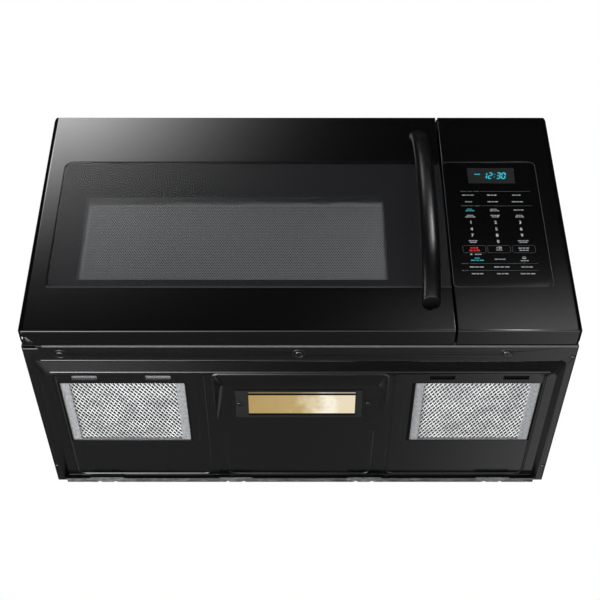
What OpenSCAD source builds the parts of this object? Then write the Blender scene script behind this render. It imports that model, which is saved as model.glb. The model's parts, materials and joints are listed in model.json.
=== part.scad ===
// Over-the-range microwave oven with a hood fan, a cooktop lamp and two grease filters.
// Every module is drawn in the front frame: y = 0 at the glass face, y grows towards the wall,
// z = 0 at the underside flange, x = 0 in the middle. The placed() module moves it to the row frame.

/* [Overall size] */
// Width across the door and the control panel
body_w = 759; // [735:1:800]
// Height of the door and the control panel
body_h = 417.5; // [413:0.5:440]
// Depth from the glass face to the wall face
body_d = 386.5; // [384:0.5:420]
// Thickness of the folded sheet steel
sheet_t = 1; // [0.8:0.1:1.2]

/* [Front] */
// Thickness of the door and the control panel
fascia_t = 30; // [28:0.5:34]
// Shadow gap between the fascia and the chassis front
front_gap = 3.7; // [3.2:0.1:5]
// Width of the control panel
control_w = 168; // [160:1:180]
// Gap between the door and the control panel
door_gap = 3; // [2:0.5:5]
// Wall of the moulded door frame and control panel
fascia_wall = 3; // [2.5:0.1:3.4]
// Radius of the outer upright edges of the fascia
edge_r = 8; // [7.5:0.5:10]
// Radius of the fascia's outer corners, seen from the front
corner_r = 7; // [3:0.5:12]
// Radius of the fascia's upper and lower front edges
lip_r = 2.5; // [1:0.5:2.8]

/* [Glass and window] */
// Distance from the fascia's outer edge to the inset glass
inset_side = 28.5; // [24:0.5:34]
// Height of the inset glass's lower edge
inset_low = 75; // [68:1:80]
// Height of the inset glass
inset_h = 245; // [236:1:256]
// Corner radius of the inset glass
inset_r = 14; // [6:1:20]
// Thickness of the door glass
glass_t = 3.2; // [2.8:0.1:4]
// Width of the groove round the inset glass
groove = 1.2; // [0.8:0.1:1.6]
// Distance from the see-through window to the door's free edge
window_free = 86.5; // [82:0.5:118]
// Height of the see-through window
window_h = 158; // [140:1:164]
// Distance from the inset glass's left edge to the window
window_side = 41; // [36:1:48]
// Distance from the inset glass's lower edge to the window
window_up = 17; // [14:1:24]

/* [Handle] */
// Width of the handle bar
handle_w = 25; // [20:0.5:30]
// Thickness of the handle bar
handle_t = 19; // [15:0.5:22]
// Height of the handle's lower end
handle_low = 38; // [34:1:44]
// Height from the handle's lower end to its upper end
handle_len = 323; // [300:1:340]
// Distance from the door's free edge to the middle of the handle
handle_side = 31.5; // [26:0.5:36]
// Radius of the handle's flat middle bow
handle_mid_r = 360; // [300:5:450]
// Half angle of the middle bow
handle_mid_angle = 14.5; // [10:0.5:16]
// Radius of the handle's tighter end bows
handle_end_r = 150; // [140:1:200]
// How far the handle's centre line stands off the door at its ends
handle_stand = 12; // [9:0.5:14]

/* [Cavity] */
// Width of the component bay beside the cavity
bay_w = 202; // [200:1:226]
// Height of the oven cavity
cavity_h = 250; // [240:1:252]
// Space between the cavity and the back plate
back_space = 5.8; // [3.8:0.1:20]
// Height of the cavity floor above the underside flange
floor_z = 58; // [56:0.5:60]
// Distance from the outside of the case to the cavity's left wall
cavity_side = 30; // [28:0.5:34]

/* [Turntable] */
// Gap between the glass tray and the cavity's back wall
tray_gap = 13; // [10:0.5:30]
// Thickness of the glass tray
tray_t = 5; // [4:0.5:6]
// Height of the tray's rim above its underside
tray_rim_h = 12; // [9:0.5:14]
// Radius of the rollers
roller_r = 7; // [6:0.5:8]
// Thickness of the rollers
roller_t = 7; // [5:0.5:8]
// Outer radius of the roller ring
ring_r = 88; // [70:1:110]
// Radius of the motor shaft
motor_shaft_r = 3.5; // [3:0.1:4]

/* [Underside] */
// Depth of the pressed recess in the base pan
recess_depth = 7; // [5:0.5:9]
// Width of the flange on each side of the recess
flange_side = 11; // [10:0.5:12]
// Distance from the glass face to the start of the front ramp
ramp_y = 66; // [62:1:72]
// Length of the front ramp
ramp_run = 37; // [30:1:42]
// Distance from the case side to the middle of a grease filter
filter_side = 126; // [124:1:130]
// Width of the opening under a grease filter
filter_open_w = 178; // [160:1:180]
// Depth of the opening under a grease filter
filter_open_d = 147; // [130:1:150]
// Distance from the glass face to the filter opening
filter_open_y = 131; // [129:1:136]
// How far a filter's rim overlaps its opening
filter_lip = 6; // [4:0.5:7]
// Thickness of a grease filter
filter_t = 8; // [6:0.5:9]
// Distance that a filter slides back before it drops out
filter_travel = 8; // [5:0.5:9]
// Width of the lamp cover plate
lamp_plate_w = 184; // [170:1:196]
// Depth of the lamp cover plate
lamp_plate_d = 60; // [54:1:64]
// Width of the lamp lens
lens_w = 155; // [130:1:160]
// Depth of the lamp lens
lens_d = 50; // [40:1:50]
// Height of a base screw head
screw_head_h = 1.6; // [1.2:0.1:2.4]

/* [Hood fan] */
// Width of the blower and of the exhaust outlet
blower_w = 254; // [240:1:260]
// Height of the blower housing
blower_h = 99; // [92:1:99]
// Depth of the blower housing
blower_d = 104; // [98:1:110]
// Radius of the blower wheels
wheel_r = 40; // [34:0.5:42]
// Depth of the exhaust outlet
outlet_d = 83; // [76:1:84]

/* [Hinge and latch] */
// Radius of the hinge pins
pin_r = 3; // [2.5:0.1:3.5]
// Distance from the door's outer edge to the hinge axis
hinge_side = 11.5; // [11:0.5:13]
// Distance from the glass face to the hinge axis
hinge_y = 18; // [17:0.5:18.5]
// Travel of the sprung latch key
latch_travel = 4; // [3:0.5:5]
// Distance between the two latch hooks
hook_pitch = 188; // [170:1:200]

/* [Mounting] */
// Distance between the two cabinet bolts
bolt_span = 560; // [500:5:640]
// Radius of the cabinet bolt holes
bolt_hole_r = 3.5; // [3:0.1:4.5]
// Distance from the glass face to the cabinet bolts
bolt_y = 118; // [110:1:130]
// Length of each slot that the wall plate's tabs enter
hook_slot_w = 52; // [44:1:58]

/* [Hidden] */
$fn = 48;

// Small value that carries a cut past a face
past = 1;
// Gap at a seat between a loose piece and what carries it
seat = 0.3;
// Radial clearance of a shaft or pin that turns in a hole
run_gap = 0.06;

// Case: half a millimetre inside the fascia on each side, a little lower than it
case_w = body_w - 1;
case_h = body_h - 2.5;
case_r = case_w / 2;
inner_r = case_r - sheet_t;
chassis_y = fascia_t + front_gap;
case_y = chassis_y + sheet_t;
wall_step = 5;
rim_y = body_d - wall_step;
rim_in = rim_y - sheet_t;
top_in = case_h - sheet_t;
flange_z = sheet_t;

// Door and control panel
door_l = -body_w / 2;
split_x = body_w / 2 - control_w - door_gap / 2;
door_r = split_x - door_gap / 2;
panel_l = split_x + door_gap / 2;
panel_r = body_w / 2;
inset_l = door_l + inset_side;
inset_end = panel_r - inset_side;
inset_top = inset_low + inset_h;
win_l = inset_l + window_side;
win_r = door_r - window_free;
win_low = inset_low + window_up;
win_top = win_low + window_h;

// Handle: a flat middle bow and two tighter end bows, tangent to it
handle_x = door_r - handle_side;
handle_mid_z = handle_low + handle_len / 2;
handle_end_angle = asin(sin(handle_mid_angle)
    + (handle_len / 2 - handle_mid_r * sin(handle_mid_angle)) / handle_end_r);
handle_crest = handle_stand + handle_mid_r * (1 - cos(handle_mid_angle))
    + handle_end_r * (cos(handle_mid_angle) - cos(handle_end_angle));
handle_out = handle_crest + handle_t / 2;
handle_over = 8;
foot_r = 8;
foot_in = 12;
foot_z = [handle_low + foot_in, handle_low + handle_len - foot_in];
handle_screw_r = 2.4;
handle_head_r = 5;
handle_head_h = 3;
handle_screw_len = 13;

// Row frame: the box of the whole part is centred in x and y and stands on its screw heads
front_y = -(body_d - handle_out) / 2;

// Cavity
cav_l = -case_r + cavity_side;
cav_r = inner_r - bay_w - sheet_t;
cav_back = rim_in - back_space;
cav_top = floor_z + cavity_h;
roof_z = cav_top + sheet_t;
cav_x = (cav_l + cav_r) / 2;
cav_y = (case_y + cav_back) / 2;
bay_l = cav_r + sheet_t;
tray_z = 40;
tray_top = tray_z + sheet_t;

// Turntable stack: floor, roller, tray
roller_z = floor_z + seat + roller_r;
tray_low = roller_z + roller_r + seat;
tray_r = (cav_back - case_y) / 2 - tray_gap;
ring_wall = 6;
ring_half_h = 3;
axle_r = 1.5;
roller_in = ring_r + 3;
axle_end = roller_in + roller_t + 3;
axle_cap_r = 2.6;
axle_cap_t = 1.6;
hub_in = 16;
hub_wall = 4;
spoke_w = 6;
coupler_r = 10;
lobe_r = 4;
lobe_at = 8.5;
coupler_low = floor_z + 2;
floor_hole_r = 9;
motor_r = 25;
motor_h = 18;
motor_low = floor_z - sheet_t - motor_h;
shaft_low = motor_low + 6;

// Door inside
choke_l = cav_l - sheet_t;
choke_r = cav_r + sheet_t;
choke_low = floor_z - sheet_t;
choke_top = cav_top + sheet_t;
choke_front = 10;
screen_t = 0.6;
panel_y = fascia_t - 3;
panel_t = sheet_t;
cover_y = panel_y + panel_t;
cover_t = fascia_t - cover_y;
cover_over = 6;
view_lip = 6;
ring_gap = 12;
pane_lip = 16;
pane_t = 2;
pane_y = cover_y - 4;
ledge_back = glass_t + 2.6;

// Hinge: a tongue and a pin at each end, mirrored about the door's middle height
hinge_x = door_l + hinge_side;
tongue_w = 10;
tongue_z = 7;
tongue_t = 2.5;
tongue_front = hinge_y - 7;
slot_low = 5;
slot_high = 13;
slot_front = hinge_y - 11;
boss_r = 6.5;
boss_top = 27;
pin_top = 24;
bracket_t = 1.5;
bracket_w = 23;
bracket_side = 4;
bracket_h = 27;
pocket_side = 3.7;
pocket_front = 13.5;
pocket_wide = 17;
pocket_narrow = 6;

// Latch key: a flat bar with two hooks, in bridges on the door's inner panel
key_gap = 0.3;
key_w = 12;
key_t = 2.8;
key_x = door_r - 18;
key_back = panel_y - key_gap;
key_front = key_back - key_t;
key_low = 80;
key_high = key_low + hook_pitch + 32;
hook_t = 3;
hook_h = 12;
hook_len = 26;
hook_drop = 4;
hook_low = key_low + 8;
hook_z = [hook_low, hook_low + hook_pitch];
hook_tip = chassis_y + hook_len - 3;
slot_gap = 2.5;
bridge_wall = 1.4;
bridge_h = 15;
bridge_z = [key_low + 40, key_high - 55];
spring_r = 3;
wire_r = 0.5;
spring_turns = 5;
spring_len = 25;
spring_low = (key_low + key_high) / 2 + 15;
spring_y = key_front - 5.5;
tab_t = 2;

// Latch board and switches, behind the front plate
board_x = key_x + 6;
board_t = 3;
board_back = case_y + 46;
strike_t = 2;
strike_gap = 0.6;
switch_y = hook_tip + 3;
switch_d = 16;
switch_h = 28;
switch_w = board_x - (key_x - 4);

// Waveguide and magnetron, on the cavity's right wall
wave_w = 38;
wave_y = [150, 240];
wave_z = [105, 225];
aperture_y = [156, 234];
aperture_z = [112, 168];
mica_over = 14;
mica_t = 1;
antenna_r = 9;
antenna_at = [195, 198];
magnet_x = bay_l + wave_w;

// Transformer, capacitor and diode behind the waveguide, and parts on the cavity roof
core = [92, 62, 84];
capacitor = [34, 60, 92];
capacitor_y = wave_y[1] + 30 + capacitor[1] / 2;
filter_board = [90, 60, 1.6];
filter_board_at = [cav_r - 110, case_y + 100];
cutout_at = [[cav_x, case_y + 70], [cav_x + 70, case_y + 200]];

// Cooling fan, in front of the magnetron
fan_size = 120;
fan_depth = 28;
fan_x = magnet_x + 4;
fan_y = 95;
fan_hole_r = 55;
fan_blade_r = 52;
fan_hub_r = 20;
fan_motor_r = 18;
fan_shaft_r = 2;
spider_t = 3;
fan_axis = [fan_x + fan_size / 2, tray_top + fan_size / 2];

// Blower, on the cavity roof against the back
blower_y = rim_in - 4 - blower_d;
blower_axis = [blower_y + 50, roof_z + blower_h / 2];
scroll_r = 45;
scroll_wall = 2;
scroll_w = 92;
inlet_r = 30;
blower_motor_r = 28;
blower_motor_w = 60;
blower_shaft_r = 4;
wheel_w = 70;
wheel_blades = 20;
outlet_y = rim_in - 4 - outlet_d;

// Underside
pan_r = inner_r;
recess_side = 6;
recess_end = rim_y - 5;
recess_x = case_r - flange_side;
recess_corner = 12;
pan_z = recess_depth + sheet_t;
filter_x = case_r - filter_side;
filter_w = filter_open_w + 2 * filter_lip;
filter_d = filter_open_d + 2 * filter_lip;
filter_y = filter_open_y - filter_lip;
filter_z = pan_z + seat;
filter_end_w = filter_lip + 13;
mesh_t = filter_t - 3;
rail_gap = 0.5;
rail_lip = 5;
rail_front = filter_y - 12;
rail_end = filter_y + filter_d + filter_travel + 4;
vent_slot = [36, 9];
vent_slot_x = 52;
vent_slot_y = filter_open_y - 18.4;
notch_w = 18;
notch_d = 4.7;

// Lamp recess: a shallow wedge that is deepest towards the front
wedge_front = ramp_y + ramp_run + 7;
wedge_deep_y = wedge_front + 36;
wedge_end = wedge_deep_y + 76;
wedge_rise = 7;
wedge_r = 122;
wedge_tilt = atan(wedge_rise / (wedge_end - wedge_deep_y));
lamp_x = -1.8;
lens_x = lamp_x + 4.3;
lamp_at = 10;
lens_at = lamp_at + (lamp_plate_d - lens_d) / 2 - 1;
lens_t = 3;
lens_proud = 2;
lamp_plate_t = 1.2;
lens_gap = 0.2;
lamp_hole_side = 2;
lamp_box_low = pan_z + wedge_rise - 0.8;
lamp_box_h = 21;
lamp_screw_r = 4;
lamp_screw_h = 1.5;
lamp_screw_x = [lamp_x - lamp_plate_w / 2 + 5.7, lamp_x + lamp_plate_w / 2 + 9];
lamp_bulb_r = 6;
lamp_bulb_len = 90;

// Screws of the base pan
base_screw_r = 5.5;
side_screw_r = 3.6;
screw_shank_r = 1.9;
screw_hole_r = 2;
screw_len = 7;
front_screws = [[-329, 52], [-2, 51], [283, 50]];
side_screws = [[-(case_r - 4), rim_y - 42], [case_r - 4, 59], [case_r - 4, rim_y - 41]];
front_lip_d = 24;
case_lip = 8;

// Wall slots and tabs of the back plate
pad_r = case_r - 14;
pad_top = case_h - 15;
pad_t = 0.8;
tab_y = rim_y - 5;
tab_out = 3;
hook_slot_x = [-302, -101, 100, 301];
hook_slot_h = 8;
hook_slot_z = 10;
notch_r = 2.5;
notch_at = 12.5;

// Top of the case
grille_r = 330;
grille_y = [case_y + 5, case_y + 49];
grille_lip = 5;
grille_t = 2;
louvre_pitch = 20;
louvre_w = 12;
grommet_r = 14;
grommet_wall = 5;
grommet_h = 9;
grommet_at = [case_r - 49, rim_y - 36];
charcoal = [370, 18, top_in - grille_t - roof_z - 7];

// Control panel
overlay_t = 2;
membrane_t = 0.5;
membrane_side = 7;
membrane_low = 10;
membrane_h = 178;
display_w = 74;
display_h = 36;
display_low = 198;
display_side = 36;
display_t = 9;
pcb_y = 14;
pcb_t = 1.6;
pcb_side = 12;
pcb_low = inset_low + 18;
pcb_h = 216;
post_r = 4;
post_in = 8;
panel_foot = 10;

module placed() {
    translate([0, front_y, screw_head_h]) children();
}

// Cuboid between two corners
module block(low, high) {
    translate(low) cube(high - low);
}

// Flat outline with one radius on its left corners and another on its right ones
module rounded(low, high, left_r, right_r) {
    translate([low[0] + left_r, low[1]])
        square([high[0] - low[0] - left_r - right_r, high[1] - low[1]]);
    translate([low[0], low[1] + left_r])
        square([left_r, high[1] - low[1] - 2 * left_r]);
    translate([high[0] - right_r, low[1] + right_r])
        square([right_r, high[1] - low[1] - 2 * right_r]);
    for (y = [low[1] + left_r, high[1] - left_r])
        translate([low[0] + left_r, y]) circle(left_r);
    for (y = [low[1] + right_r, high[1] - right_r])
        translate([high[0] - right_r, y]) circle(right_r);
}

// Stands a flat outline up in the x-z plane, from one y to another
module upright(y_low, y_high) {
    translate([0, y_high, 0]) rotate([90, 0, 0]) linear_extrude(y_high - y_low) children();
}

// Solid outside of the door or control panel, with its free side on the left
module fascia_body(low_x, high_x) {
    intersection() {
        linear_extrude(body_h) rounded([low_x, 0], [high_x, fascia_t], edge_r, 1);
        upright(-past, fascia_t + past) rounded([low_x, 0], [high_x, body_h], corner_r, 1);
        translate([low_x - past, 0, 0]) rotate([90, 0, 90]) linear_extrude(high_x - low_x + 2 * past)
            rounded([0, 0], [fascia_t, body_h], lip_r, 1);
    }
}

// Round bar along x, y or z
module rod_x(x_low, x_high, y, z, r) {
    translate([x_low, y, z]) rotate([0, 90, 0]) cylinder(h = x_high - x_low, r = r);
}

module rod_y(x, y_low, y_high, z, r) {
    translate([x, y_high, z]) rotate([90, 0, 0]) cylinder(h = y_high - y_low, r = r);
}

module rod_z(x, y, z_low, z_high, r) {
    translate([x, y, z_low]) cylinder(h = z_high - z_low, r = r);
}

// Repeats what is drawn for the lower hinge at the top of the door
module both_hinges() {
    children();
    translate([0, 0, body_h]) mirror([0, 0, 1]) children();
}

module outer_case() color([0.07, 0.07, 0.075]) placed() {
    difference() {
        union() {
            difference() {
                block([-case_r, case_y, 0], [case_r, rim_y, case_h]);
                block([-inner_r, case_y - past, -past], [inner_r, rim_y + past, top_in]);
            }
            for (side = [-1, 1])
                translate([side * (inner_r - case_lip / 2 + 0.25), 0, 0])
                    block([-case_lip / 2 - 0.25, case_y + 6, flange_z],
                        [case_lip / 2 + 0.25, rim_in, flange_z + sheet_t]);
        }
        block([-grille_r, grille_y[0], top_in - past], [grille_r, grille_y[1], case_h + past]);
        block([-blower_w / 2, outlet_y, top_in - past],
            [blower_w / 2, outlet_y + outlet_d, case_h + past]);
        for (side = [-1, 1])
            rod_z(side * bolt_span / 2, bolt_y, top_in - past, case_h + past, bolt_hole_r);
        rod_z(grommet_at[0], grommet_at[1], top_in - past, case_h + past, grommet_r);
        for (at = side_screws)
            rod_z(at[0], at[1], 0, flange_z + sheet_t + past, screw_hole_r);
    }
}

module back_plate() color([0.62, 0.64, 0.66]) placed() {
    difference() {
        union() {
            block([-inner_r, rim_in, flange_z], [inner_r, rim_y, top_in]);
            block([-pad_r, rim_in, -pad_t], [pad_r, body_d, pad_top]);
            block([-pad_r, tab_y, -pad_t], [pad_r, rim_in + past, 0]);
            for (x = hook_slot_x)
                block([x - hook_slot_w / 2, tab_y - tab_out, -pad_t],
                    [x + hook_slot_w / 2, tab_y + past, 0]);
        }
        block([-pad_r + sheet_t, rim_in - past, flange_z],
            [pad_r - sheet_t, body_d - sheet_t, pad_top - sheet_t]);
        block([-pad_r - past, rim_in - past, 0], [pad_r + past, rim_y, flange_z]);
        for (x = hook_slot_x) {
            block([x - hook_slot_w / 2, rim_in - past, hook_slot_z],
                [x + hook_slot_w / 2, body_d + past, hook_slot_z + hook_slot_h]);
            for (side = [-1, 1])
                rod_z(x + side * notch_at, body_d, -pad_t - past, flange_z + past, notch_r);
        }
    }
}

// Space under the pan between the flange and the recessed plane, grown by a wall for its outside
module recess_space(grow) {
    low = [recess_x + grow, ramp_y - grow];
    high = [recess_x - recess_side + grow, ramp_y + ramp_run - grow];
    hull() {
        translate([0, 0, -past + grow])
            linear_extrude(0.01 + past) recess_outline(low, grow);
        translate([0, 0, recess_depth + grow - 0.01])
            linear_extrude(0.01) recess_outline(high, grow);
    }
}

module recess_outline(reach, grow) {
    end = recess_end + grow;
    for (side = [-1, 1])
        translate([side * (reach[0] - recess_corner), reach[1] + recess_corner])
            circle(recess_corner, $fn = 32);
    translate([-reach[0], end - past]) square([2 * reach[0], past]);
}

// Wedge over the lamp, drawn from the side and pulled along x
module wedge_space(grow) {
    translate([-wedge_r - grow, 0, 0]) rotate([90, 0, 90]) linear_extrude(2 * (wedge_r + grow))
        polygon([[wedge_front - 4 * grow, recess_depth - past],
            [wedge_front - 4 * grow, recess_depth],
            [wedge_deep_y, recess_depth + wedge_rise + grow],
            [wedge_end + 8 * grow, recess_depth + grow * 0.3],
            [wedge_end + 8 * grow, recess_depth - past]]);
}

// Local frame on the sloping face of the wedge: y runs back along it and z points up through it
module on_wedge() {
    translate([0, wedge_deep_y, recess_depth + wedge_rise]) rotate([-wedge_tilt, 0, 0]) children();
}

module filter_rails() {
    rail_top = filter_z + filter_t + rail_gap;
    for (side = [-1, 1])
        translate([side * (filter_w / 2 + rail_gap), 0, 0]) {
            block([min(0, side * sheet_t), rail_front, pan_z - sheet_t / 2],
                [max(0, side * sheet_t), rail_end, rail_top + sheet_t]);
            block([min(side * sheet_t, -side * rail_lip), rail_front, rail_top],
                [max(side * sheet_t, -side * rail_lip), rail_end, rail_top + sheet_t]);
        }
}

module base_pan() color([0.09, 0.092, 0.097]) placed() {
    difference() {
        union() {
            block([-pan_r, chassis_y, 0], [pan_r, rim_y, flange_z]);
            recess_space(sheet_t);
            wedge_space(sheet_t);
            for (side = [-1, 1])
                translate([side * filter_x, 0, 0]) filter_rails();
        }
        recess_space(0);
        wedge_space(0);
        block([-pan_r - past, chassis_y - past, -past],
            [-pan_r + notch_w, chassis_y + notch_d, flange_z + past]);
        for (side = [-1, 1])
            translate([side * filter_x, 0, 0]) {
                block([-filter_open_w / 2, filter_open_y, recess_depth - past],
                    [filter_open_w / 2, filter_open_y + filter_open_d, pan_z + past / 2]);
                for (x = [-vent_slot_x, vent_slot_x])
                    block([x - vent_slot[0] / 2, vent_slot_y, recess_depth - past],
                        [x + vent_slot[0] / 2, vent_slot_y + vent_slot[1], pan_z + past]);
            }
        on_wedge()
            block([lens_x - lens_w / 2 - lamp_hole_side, lens_at - lamp_hole_side, -past],
                [lens_x + lens_w / 2 + lamp_hole_side, lens_at + lens_d + lamp_hole_side, 3]);
        on_wedge()
            for (x = lamp_screw_x)
                rod_z(x, lamp_at + lamp_plate_d / 2, -past, 4, screw_hole_r);
        for (at = concat(front_screws, side_screws))
            rod_z(at[0], at[1], -past, flange_z + past, screw_hole_r);
    }
}

module front_plate() color([0.1, 0.1, 0.105]) placed() {
    difference() {
        union() {
            block([-inner_r, chassis_y, flange_z], [inner_r, case_y, top_in]);
            block([-inner_r + notch_w, chassis_y, flange_z],
                [inner_r, case_y + front_lip_d, flange_z + sheet_t]);
        }
        block([cav_l, chassis_y - past, floor_z], [cav_r, case_y + past, cav_top]);
        for (z = hook_z)
            block([key_x - hook_t / 2 - slot_gap, chassis_y - past, z - hook_drop - slot_gap],
                [key_x + hook_t / 2 + slot_gap, case_y + past,
                    z + hook_h + latch_travel + slot_gap]);
        for (at = front_screws)
            rod_z(at[0], at[1], 0, flange_z + sheet_t + past, screw_hole_r);
        block([case_r - 12, case_y + 1, 0], [case_r, case_y + front_lip_d + past, flange_z + 2]);
    }
}

// Rows of slots through the cavity wall for steam and light
module steam_slots(count, pitch, size) {
    for (i = [0 : count - 1])
        translate([0, i * pitch, 0]) cube(size, center = true);
}

module oven_cavity() color([0.56, 0.57, 0.58]) placed() {
    difference() {
        block([cav_l - sheet_t, case_y, floor_z - sheet_t],
            [cav_r + sheet_t, cav_back + sheet_t, roof_z]);
        block([cav_l, case_y - past, floor_z], [cav_r, cav_back, cav_top]);
        rod_z(cav_x, cav_y, floor_z - sheet_t - past, floor_z + past, floor_hole_r);
        block([cav_r - past, aperture_y[0], aperture_z[0]],
            [cav_r + sheet_t + past, aperture_y[1], aperture_z[1]]);
        translate([cav_l - sheet_t / 2, cav_y + 60, cav_top - 40])
            steam_slots(6, 12, [3 * sheet_t, 5, 30]);
        translate([cav_r - 90, case_y + 26, roof_z - sheet_t / 2])
            steam_slots(4, 12, [34, 5, 3 * sheet_t]);
    }
}

module component_tray() color([0.64, 0.66, 0.68]) placed() {
    block([bay_l, case_y, tray_z], [inner_r, rim_in, tray_top]);
    block([bay_l, case_y + 40, tray_top - past / 2], [bay_l + sheet_t, rim_in, tray_top + 8]);
}

module vent_grille() color([0.08, 0.08, 0.085]) placed() {
    difference() {
        union() {
            block([-grille_r + seat, grille_y[0] + seat, top_in],
                [grille_r - seat, grille_y[1] - seat, case_h]);
            block([-grille_r - grille_lip, case_y, top_in - grille_t],
                [grille_r + grille_lip, grille_y[1] + grille_lip, top_in]);
        }
        for (x = [-grille_r + louvre_pitch : louvre_pitch : grille_r - louvre_pitch])
            block([x - louvre_w / 2, grille_y[0] + 4, top_in - grille_t - past],
                [x + louvre_w / 2, grille_y[1] - 4, case_h + past]);
    }
}

module charcoal_filter() color([0.2, 0.2, 0.21]) placed() {
    cell = 20;
    difference() {
        block([-charcoal[0] / 2, case_y, roof_z],
            [charcoal[0] / 2, case_y + charcoal[1], roof_z + charcoal[2]]);
        for (x = [-charcoal[0] / 2 + cell : cell : charcoal[0] / 2 - cell])
            for (z = [roof_z + 16 : cell + 2 : roof_z + charcoal[2] - 12])
                translate([x, case_y + charcoal[1] / 2, z])
                    cube([cell - 5, charcoal[1] + 2 * past, cell - 5], center = true);
    }
}

module cord_grommet() color([0.05, 0.05, 0.05]) placed() {
    groove = grommet_wall / 2;
    difference() {
        union() {
            rod_z(grommet_at[0], grommet_at[1], case_h - grommet_h, top_in, grommet_r + groove);
            rod_z(grommet_at[0], grommet_at[1], case_h - grommet_h, case_h, grommet_r - 0.1);
        }
        rod_z(grommet_at[0], grommet_at[1], case_h - grommet_h - past, case_h + past,
            grommet_r - grommet_wall);
    }
}

// One scroll of the blower: a box with a round chamber, a slot upwards and a round inlet each side
module scroll(x_low) {
    x_high = x_low + scroll_w;
    difference() {
        block([x_low, blower_y, roof_z], [x_high, blower_y + blower_d, roof_z + blower_h]);
        rod_x(x_low + scroll_wall, x_high - scroll_wall, blower_axis[0], blower_axis[1], scroll_r);
        block([x_low + scroll_wall, blower_axis[0], blower_axis[1]],
            [x_high - scroll_wall, blower_axis[0] + scroll_r, roof_z + blower_h + past]);
        rod_x(x_low - past, x_high + past, blower_axis[0], blower_axis[1], inlet_r);
    }
}

module blower_housing() color([0.16, 0.16, 0.17]) placed() {
    scroll(-blower_w / 2);
    scroll(blower_w / 2 - scroll_w);
    cradle = blower_w / 2 - scroll_w + past / 2;
    difference() {
        block([-cradle, blower_axis[0] - 26, roof_z],
            [cradle, blower_axis[0] + 26, blower_axis[1] - 10]);
        rod_x(-cradle - past, cradle + past, blower_axis[0], blower_axis[1],
            blower_motor_r + run_gap);
    }
}

module blower_motor() color([0.55, 0.56, 0.58]) placed() {
    half = blower_motor_w / 2;
    difference() {
        union() {
            rod_x(-half, half, blower_axis[0], blower_axis[1], blower_motor_r);
            rod_x(-half - 4, half + 4, blower_axis[0], blower_axis[1], 12);
        }
        rod_x(-half - 6, half + 6, blower_axis[0], blower_axis[1], blower_shaft_r + run_gap);
    }
}

module wheel_cage(x_low) {
    blade = [wheel_w, 1.2, 7];
    for (x = [x_low, x_low + wheel_w - 2])
        difference() {
            rod_x(x, x + 2, 0, 0, wheel_r);
            rod_x(x - past, x + 2 + past, 0, 0, wheel_r - blade[2]);
        }
    for (i = [0 : wheel_blades - 1])
        rotate([i * 360 / wheel_blades, 0, 0])
            translate([x_low + 0.5, -blade[1] / 2, wheel_r - blade[2] + 0.6])
                cube([wheel_w - 1, blade[1], blade[2] - 1.6]);
    rod_x(x_low + wheel_w / 2 - 1, x_low + wheel_w / 2 + 1, 0, 0, wheel_r - 3);
}

module blower_wheels() color([0.75, 0.76, 0.78]) placed() {
    reach = blower_w / 2 - scroll_wall - 9;
    translate([0, blower_axis[0], blower_axis[1]]) {
        rod_x(-reach, reach, 0, 0, blower_shaft_r);
        wheel_cage(-blower_w / 2 + scroll_w / 2 - wheel_w / 2);
        wheel_cage(blower_w / 2 - scroll_w / 2 - wheel_w / 2);
    }
}

module waveguide() color([0.68, 0.7, 0.72]) placed() {
    difference() {
        block([bay_l, wave_y[0], wave_z[0]], [magnet_x, wave_y[1], wave_z[1]]);
        block([bay_l - past, wave_y[0] + sheet_t, wave_z[0] + sheet_t],
            [magnet_x - sheet_t, wave_y[1] - sheet_t, wave_z[1] - sheet_t]);
        rod_x(magnet_x - 2 * sheet_t, magnet_x + past, antenna_at[0], antenna_at[1],
            antenna_r + 0.5);
    }
}

module waveguide_cover() color([0.72, 0.66, 0.52]) placed() {
    block([cav_r - mica_t, aperture_y[0] - mica_over, aperture_z[0] - mica_over],
        [cav_r, aperture_y[1] + mica_over, aperture_z[1] + mica_over]);
}

module magnetron() color([0.7, 0.71, 0.73]) placed() {
    yoke = 60;
    fin_pitch = 8;
    translate([magnet_x, antenna_at[0], antenna_at[1]]) {
        block([0, -44, -40], [2, 44, 24]);
        rod_x(-26, 2, 0, 0, antenna_r);
        rod_x(1, yoke, 0, 0, 17);
        for (side = [-1, 1])
            block([1, side * 40 - 1, -34], [yoke, side * 40 + 1, 24]);
        for (x = [fin_pitch : fin_pitch : yoke - fin_pitch])
            block([x, -40.5, -30], [x + 1, 40.5, 22]);
        block([yoke - 2, -41, -34], [yoke, 41, 24]);
        block([yoke - past, -20, -30], [yoke + 26, 20, 12]);
    }
}

module hv_transformer() color([0.42, 0.3, 0.2]) placed() {
    translate([inner_r - 40 - core[0], rim_in - 46 - core[1], tray_top]) {
        difference() {
            cube(core);
            translate([16, -past, 18]) cube([16, core[1] + 2 * past, 48]);
            translate([core[0] - 32, -past, 18]) cube([16, core[1] + 2 * past, 48]);
        }
        for (z = [[20, 40], [46, 64]])
            difference() {
                block([17, -12, z[0]], [core[0] - 17, core[1] + 12, z[1]]);
                block([32, 0, z[0] - past], [core[0] - 32, core[1], z[1] + past]);
            }
        block([-10, 6, 0], [core[0] + 10, core[1] - 6, 2]);
    }
}

module hv_capacitor() color([0.75, 0.76, 0.78]) placed() {
    side = [capacitor[0] / 2, capacitor[1] / 2];
    translate([bay_l + capacitor[0], capacitor_y, tray_top]) {
        linear_extrude(capacitor[2]) rounded(-side, side, side[0] - 2, side[0] - 2);
        for (y = [-12, 12])
            block([-0.8, y - 3, capacitor[2] - past], [0.8, y + 3, capacitor[2] + 12]);
    }
}

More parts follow.
